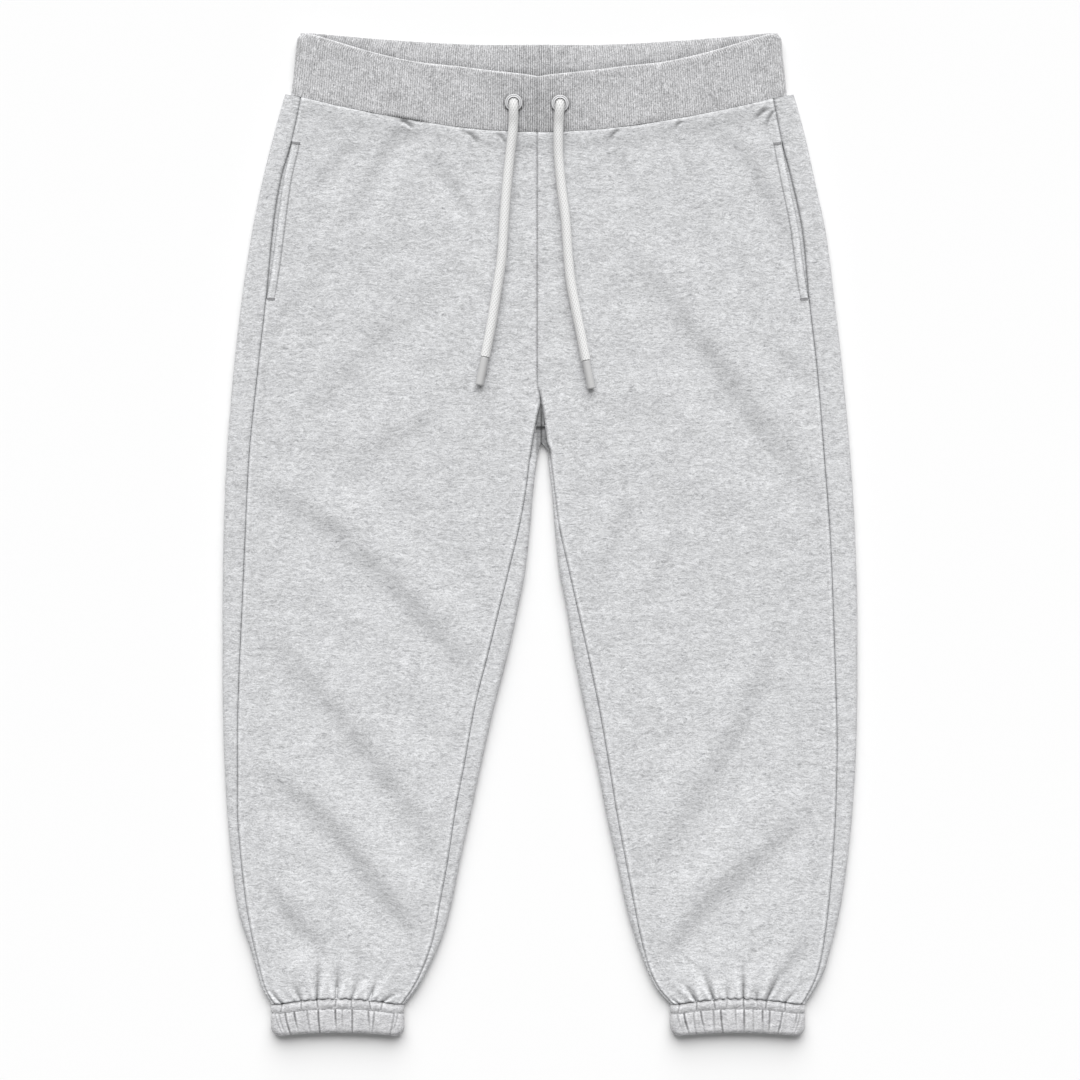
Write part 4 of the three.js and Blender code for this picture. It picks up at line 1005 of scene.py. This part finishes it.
def route_line(route, steps):
    """A centripetal Catmull-Rom curve through a route's points, as the part's source makes it."""
    points = np.array(route, float)
    before, after = 2 * points[0] - points[1], 2 * points[-1] - points[-2]
    points = np.concatenate([[before], points, [after]])
    line = []
    for i in range(1, len(points) - 2):
        p0, p1, p2, p3 = points[i - 1 : i + 3]
        d0, d1, d2 = (np.linalg.norm(b - a) ** 0.5 for a, b in ((p0, p1), (p1, p2), (p2, p3)))
        m1 = d1 * ((p1 - p0) / d0 - (p2 - p0) / (d0 + d1) + (p2 - p1) / d1)
        m2 = d1 * ((p2 - p1) / d1 - (p3 - p1) / (d1 + d2) + (p3 - p2) / d2)
        for t in np.linspace(0, 1, steps, endpoint=False):
            a = 2 * t**3 - 3 * t**2 + 1
            line.append(a * p1 + (t**3 - 2 * t**2 + t) * m1 + (1 - a) * p2 + (t**3 - t**2) * m2)
    line.append(points[-2])
    return np.array(line)


def even_line(line, step):
    """The same line with points at even steps."""
    lengths = np.concatenate([[0], np.cumsum(np.linalg.norm(np.diff(line, axis=0), axis=1))])
    at = np.linspace(0, lengths[-1], int(lengths[-1] / step) + 1)
    return np.stack([np.interp(at, lengths, line[:, k]) for k in range(3)], -1)


def tube(shell, line, form_at, sides):
    """Adds a closed tube along a line to a shell. form_at gives radii and shades round a ring."""
    tangents = np.gradient(line, axis=0)
    tangents /= np.linalg.norm(tangents, axis=1)[:, None]
    side = unit(np.cross(tangents[0], [0, 0, 1] if abs(tangents[0][2]) < 0.9 else [1, 0, 0]))
    angle = np.linspace(0, 2 * np.pi, sides, endpoint=False)
    rings, shades = [], []
    for i, (centre, tangent) in enumerate(zip(line, tangents)):
        side = unit(side - tangent * (side @ tangent))
        other = np.cross(tangent, side)
        radius, shade = form_at(i, angle)
        ring = np.cos(angle)[:, None] * side + np.sin(angle)[:, None] * other
        rings.append(centre + radius[:, None] * ring)
        shades.append(shade)
    numbers = shell.add(np.array(rings), np.array(shades))
    shell.cover(np.concatenate([numbers, numbers[:, :1]], 1), True)
    for ring, flip in ((numbers[0], False), (numbers[-1], True)):
        cap = ring.tolist()
        shell.faces.append(cap[::-1] if flip else cap)


def drawstring(name, route, cord_material, tip_material):
    """A braided cord with a smooth tip."""
    line = even_line(route_line(route, 12), BRAID_STEP)

    def braid(i, angle):
        plait = np.cos(BRAID_STRANDS * angle) * np.cos(2 * np.pi * i * BRAID_STEP / BRAID_PITCH)
        along = i * BRAID_STEP
        # Painted shadow down the eyelet's hole, painted shade over the cord's bend, and painted shade in
        # the pits of the braid
        hole_and_bend_shade = 0.75 * (1 - smooth((along - 2) / 6)) + 0.2 * bell(along - 8, 5)
        return CORD_RADIUS + BRAID_RISE * plait, BRAID_PAINTED_SHADE * np.maximum(-plait, 0) + hole_and_bend_shade

    shell = Shell()
    tube(shell, line, braid, 48)
    cord = shell.make(f"drawstring_{name}", cord_material)
    stands_for(cord, [f"cord_{name}"])

    onward = np.array(route[-1]) - np.array(route[-2])
    onward[2] = TIP_SLOPE * math.hypot(onward[0], onward[1])
    onward = unit(onward)
    neck, shoulder = TIP_RADIUS - TIP_NECK, TIP_LENGTH - TIP_ROUND
    profile = [(0, 0), (TIP_RADIUS - 0.5, 0), (TIP_RADIUS - 0.1, 0.4), (TIP_RADIUS, 1.2)]
    profile += [(neck, 2.2), (neck, shoulder)]
    for t in np.linspace(0, np.pi / 2, 6)[1:]:
        profile.append((neck - TIP_ROUND * (1 - math.cos(t)), shoulder + TIP_ROUND * math.sin(t)))
    profile.append((0, TIP_LENGTH))
    place = np.array(route[-1]) + SEAM_GAP * onward
    tip = turned(f"drawstring_tip_{name}", profile[::-1], 32, tip_material, place, onward)
    stands_for(tip, [f"tip_{name}"])
    [MM * v for v in route[0]]


def threads(name, runs, radius, material):
    """Short rounded stitches, each a line of points."""
    shell = Shell()
    for run in runs:
        ends = (0, len(run) - 1)
        tube(shell, run, lambda i, angle: (radius * (0.45 if i in ends else 1) + 0 * angle, 0 * angle), 6)
    piece = shell.make(name, material)
    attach(piece, "root")
    return piece


def stitches_along(line, length, gap, sink):
    """Cuts a line into stitches whose ends sink into the cloth."""
    line = even_line(line, STITCH_STEP)
    per, skip = round(length / STITCH_STEP), round((length + gap) / STITCH_STEP)
    runs = []
    for first in range(0, len(line) - per, skip):
        run = line[first : first + per + 1].copy()
        run[[0, -1], 2] -= sink
        runs.append(run)
    return runs


def pocket_stitches(side, material):
    rows = np.linspace(POCKET_TOP - 3, POCKET_FOOT + 2, 160)
    outward = front_outer(side, rows) - TOPSTITCH_IN
    line = front_surface(side, outward, rows)
    line[:, 2] += 0.1
    runs = stitches_along(line, 2.4, 0.7, 0.35)
    for row in (POCKET_TOP - 1.5, POCKET_FOOT + 1.5):
        across = front_outer(side, row) - np.linspace(0.5, TOPSTITCH_IN + 1.2, 9)
        for off in np.linspace(-0.9, 0.9, 4):
            tack = front_surface(side, across, row + off + 0 * across)
            tack[:, 2] += 0.3
            runs.append(tack)
    return threads(f"pocket_stitches_{side.name}", runs, 0.3, material)


def cuff_stitches(side, rings, material):
    """The row of stitches along the channel of a cuff's elastic, laid on the cuff's own points."""
    share = CUFF_STITCH_SHARE * (CUFF_RINGS - 1)
    ring = mix(rings[int(share)], rings[int(share) + 1], share - int(share))
    line = ring[4:326].copy()
    line[:, 2] += 0.12
    return threads(f"cuff_stitches_{side.name}", stitches_along(line, 2.2, 0.7, 0.3), 0.28, material)


def new_material(name, roughness, sheen=0.0, metallic=0.0, specular=0.5):
    material = bpy.data.materials.new(name)
    material.use_nodes = True
    shader = material.node_tree.nodes["Principled BSDF"]
    shader.inputs["Roughness"].default_value = roughness
    shader.inputs["Metallic"].default_value = metallic
    shader.inputs["Specular IOR Level"].default_value = specular
    shader.inputs["Sheen Weight"].default_value = sheen
    shader.inputs["Sheen Roughness"].default_value = 0.6
    return material, material.node_tree, shader


def feed(tree, socket, value):
    """Sets a socket from a number or from another node's output."""
    if isinstance(value, bpy.types.NodeSocket):
        tree.links.new(value, socket)
    else:
        socket.default_value = value


def node(tree, kind, **values):
    """A shader node with its sockets set by name."""
    made = tree.nodes.new(kind)
    for name, value in values.items():
        feed(tree, made.inputs[name], value)
    return made


def math_node(tree, operation, *values):
    made = tree.nodes.new("ShaderNodeMath")
    made.operation = operation
    for socket, value in zip(made.inputs, values):
        feed(tree, socket, value)
    return made.outputs[0]


def weighted(tree, first, *others):
    """The sum of (noise, share) pairs."""
    total = math_node(tree, "MULTIPLY", *first)
    for noise, share in others:
        total = math_node(tree, "MULTIPLY_ADD", noise, share, total)
    return total


def stretched_noise(tree, place, scales, detail, roughness, distortion=0.0):
    """Noise whose grain is stretched along the axes: scales are repeats for each metre."""
    mapping = node(tree, "ShaderNodeMapping", Vector=place, Scale=scales)
    values = {"Scale": 1.0, "Detail": detail, "Roughness": roughness, "Distortion": distortion}
    return node(tree, "ShaderNodeTexNoise", Vector=mapping.outputs[0], **values).outputs["Fac"]


def ramp(tree, factor, stops):
    """A colour ramp from (place, colour) stops."""
    made = tree.nodes.new("ShaderNodeValToRGB")
    tree.links.new(factor, made.inputs[0])
    elements = made.color_ramp.elements
    while len(elements) < len(stops):
        elements.new(0.5)
    for element, (place, colour) in zip(elements, stops):
        element.position = place
        element.color = (*colour, 1)
    return made.outputs[0]


def multiplied(tree, first, second):
    blend = tree.nodes.new("ShaderNodeMix")
    blend.data_type = "RGBA"
    blend.blend_type = "MULTIPLY"
    blend.inputs[0].default_value = 1.0
    tree.links.new(first, blend.inputs[6])
    tree.links.new(second, blend.inputs[7])
    return blend.outputs[2]


def coloured(tree, shader, colour):
    """Gives the shader its colour, darker by the painted shade that the form's points carry, and lighter
    where that shade is below 0, as painted highlight.
    """
    shade = tree.nodes.new("ShaderNodeAttribute")
    shade.attribute_name = "shade"
    kept = math_node(tree, "SUBTRACT", 1.0, shade.outputs["Fac"])
    tree.links.new(multiplied(tree, colour, kept), shader.inputs["Base Color"])


def bumped(tree, shader, height, distance, strength=1.0):
    bump = node(tree, "ShaderNodeBump", Height=height, Distance=distance, Strength=strength)
    tree.links.new(bump.outputs[0], shader.inputs["Normal"])


def tinted(colour, share):
    return tuple(c * share for c in colour)


def toned(tree, grain, base, contrast):
    """The base colour, darker and lighter by the contrast where the grain is low and high."""
    stops = zip((0.36, 0.5, 0.64), (1 - contrast, 1, 1 + contrast))
    return ramp(tree, grain, [(place, tinted(base, share)) for place, share in stops])


def wavy_place(tree, amount, scale):
    """The object's own coordinates, with a slow waver in them so that no grain runs dead straight."""
    place = tree.nodes.new("ShaderNodeTexCoord").outputs["Object"]
    waver = node(tree, "ShaderNodeTexNoise", Vector=place, Scale=scale, Detail=2.0)
    off = tree.nodes.new("ShaderNodeVectorMath")
    off.operation = "MULTIPLY_ADD"
    tree.links.new(waver.outputs["Color"], off.inputs[0])
    off.inputs[1].default_value = (amount, amount, amount)
    tree.links.new(place, off.inputs[2])
    return off.outputs[0]


def fleece_material(name, base, contrast):
    """Heather fleece: pale knit with short level streaks, small dark flecks and soft mottling."""
    material, tree, shader = new_material(name, 0.92, sheen=0.12, specular=0.25)
    place = wavy_place(tree, 0.0085, 62)
    streaks = stretched_noise(tree, place, (200, 640, 200), 3.0, 0.65)
    fine = stretched_noise(tree, place, (640, 1200, 640), 2.0, 0.6)
    mottle = stretched_noise(tree, place, (60, 190, 60), 2.0, 0.5)
    flecks = stretched_noise(tree, place, (170, 640, 170), 1.0, 0.5)
    total = weighted(tree, (fine, 0.42), (streaks, 0.46), (mottle, 0.12))
    colour = toned(tree, total, base, contrast)
    dark = ramp(tree, flecks, [(0.26, (0.72, 0.72, 0.73)), (0.36, (1, 1, 1))])
    fibres = stretched_noise(tree, place, (115, 430, 115), 1.5, 0.5, 0.4)
    off_contour = math_node(tree, "ABSOLUTE", math_node(tree, "SUBTRACT", fibres, 0.5))
    hairlines = ramp(tree, off_contour, [(0.0, (0.8, 0.8, 0.81)), (0.022, (1, 1, 1))])
    coloured(tree, shader, multiplied(tree, multiplied(tree, colour, dark), hairlines))
    nap = stretched_noise(tree, place, (700, 1100, 900), 3.0, 0.65)
    grain = weighted(tree, (nap, 0.5), (streaks, 0.6))
    bumped(tree, shader, grain, 0.00035, 0.8)
    return material


def rib_material(name, base, contrast):
    """Heather rib: broken upright grain over the modelled ribs."""
    material, tree, shader = new_material(name, 0.92, sheen=0.1, specular=0.25)
    place = wavy_place(tree, 0.0016, 90)
    grain = stretched_noise(tree, place, (1000, 360, 600), 2.0, 0.6)
    mottle = stretched_noise(tree, place, (60, 60, 60), 3.0, 0.6)
    cross = stretched_noise(tree, place, (700, 950, 700), 2.0, 0.5)
    total = weighted(tree, (mottle, 0.08), (grain, 0.5), (cross, 0.42))
    coloured(tree, shader, toned(tree, total, base, contrast))
    bumped(tree, shader, total, 0.0004, 0.8)
    return material


def plain_material(name, base, roughness, grain_scale, grain_depth, spread, **looks):
    """A material with fine uneven tone and grain."""
    material, tree, shader = new_material(name, roughness, **looks)
    place = tree.nodes.new("ShaderNodeTexCoord").outputs["Object"]
    grain = stretched_noise(tree, place, (grain_scale,) * 3, 3.0, 0.6)
    colour = ramp(tree, grain, [(0.35, tinted(base, 1 - spread)), (0.65, tinted(base, 1 + spread))])
    coloured(tree, shader, colour)
    bumped(tree, shader, grain, grain_depth, 0.6)
    return material


def add_camera():
    data = bpy.data.cameras.new("camera")
    data.sensor_width = SENSOR_WIDTH
    data.lens = SENSOR_WIDTH * (CAMERA_HEIGHT - OUTLINE_HEIGHT) / (PHOTO_SIDE * PIXEL)
    camera = put("camera", data)
    camera.location = (0, PHOTO_MIDDLE_Y * MM, CAMERA_HEIGHT * MM)
    bpy.context.scene.camera = camera


def add_light():
    """Soft light from above the waist, and an even white surround."""
    data = bpy.data.lights.new("softbox", "SUN")
    data.energy = SUN_ENERGY
    data.angle = math.radians(SUN_WIDTH)
    put("softbox", data).rotation_euler = (math.radians(SUN_TILT), 0, 0)
    world = bpy.data.worlds.new("surround")
    world.use_nodes = True
    background = world.node_tree.nodes["Background"]
    background.inputs[0].default_value = (1, 1, 1, 1)
    background.inputs[1].default_value = SURROUND
    bpy.context.scene.world = world
    bpy.context.scene.view_settings.view_transform = "Standard"


def add_floor():
    mesh = bpy.data.meshes.new("floor")
    corners = [(-1, -1), (1, -1), (1, 1), (-1, 1)]
    mesh.from_pydata([(FLOOR_HALF * x, FLOOR_HALF * y, 0) for x, y in corners], [], [(0, 1, 2, 3)])
    material, _, shader = new_material("pale_floor", 0.9, specular=0.1)
    shader.inputs["Base Color"].default_value = (FLOOR_TONE, FLOOR_TONE, FLOOR_TONE, 1)
    mesh.materials.append(material)
    floor = put("floor", mesh)


add_camera()
add_light()
add_floor()

# Plain materials. After the colour: roughness, grain for each metre, depth of the grain, spread of tone
soft = {"sheen": 0.1, "specular": 0.2}
braid = plain_material("cord_braid", (0.83, 0.83, 0.825), 0.85, 1500, 0.00015, 0.06, **soft)
satin = plain_material("tip_satin", (0.6, 0.6, 0.6), 0.45, 400, 0.00002, 0.01)
for name, route in CORD_ROUTES.items():
    drawstring(name, route, braid, satin)

fleece = fleece_material("heather_fleece", (0.598, 0.603, 0.613), 0.37)
# The cuffs' fleece is the body's heather fleece made darker, as painted shade of the closely gathered
# cloth
shaded_cuff_fleece = fleece_material("heather_fleece_cuff_shaded", (0.575, 0.575, 0.585), 0.37)
rib_knit = rib_material("heather_rib", (0.6, 0.6, 0.61), 0.45)
metal = plain_material("eyelet_lacquer", (0.66, 0.66, 0.67), 0.4, 300, 2e-5, 0.02, metallic=0.1)
thread = plain_material("sewing_thread", (0.34, 0.34, 0.35), 0.7, 1500, 1e-4, 0.06, sheen=0.1)

for side in SIDES:
    front = front_panel(side, fleece)
    back = back_panel(side, fleece)
    cuff, rings = cuff_tube(side, shaded_cuff_fleece)
    facing = pocket_facing(side, fleece)
    pocket_thread = pocket_stitches(side, thread)
    cuff_thread = cuff_stitches(side, rings, thread)
for name, place in EYELET_PLACES.items():
    eyelet(name, place, metal)
band = waistband(rib_knit)
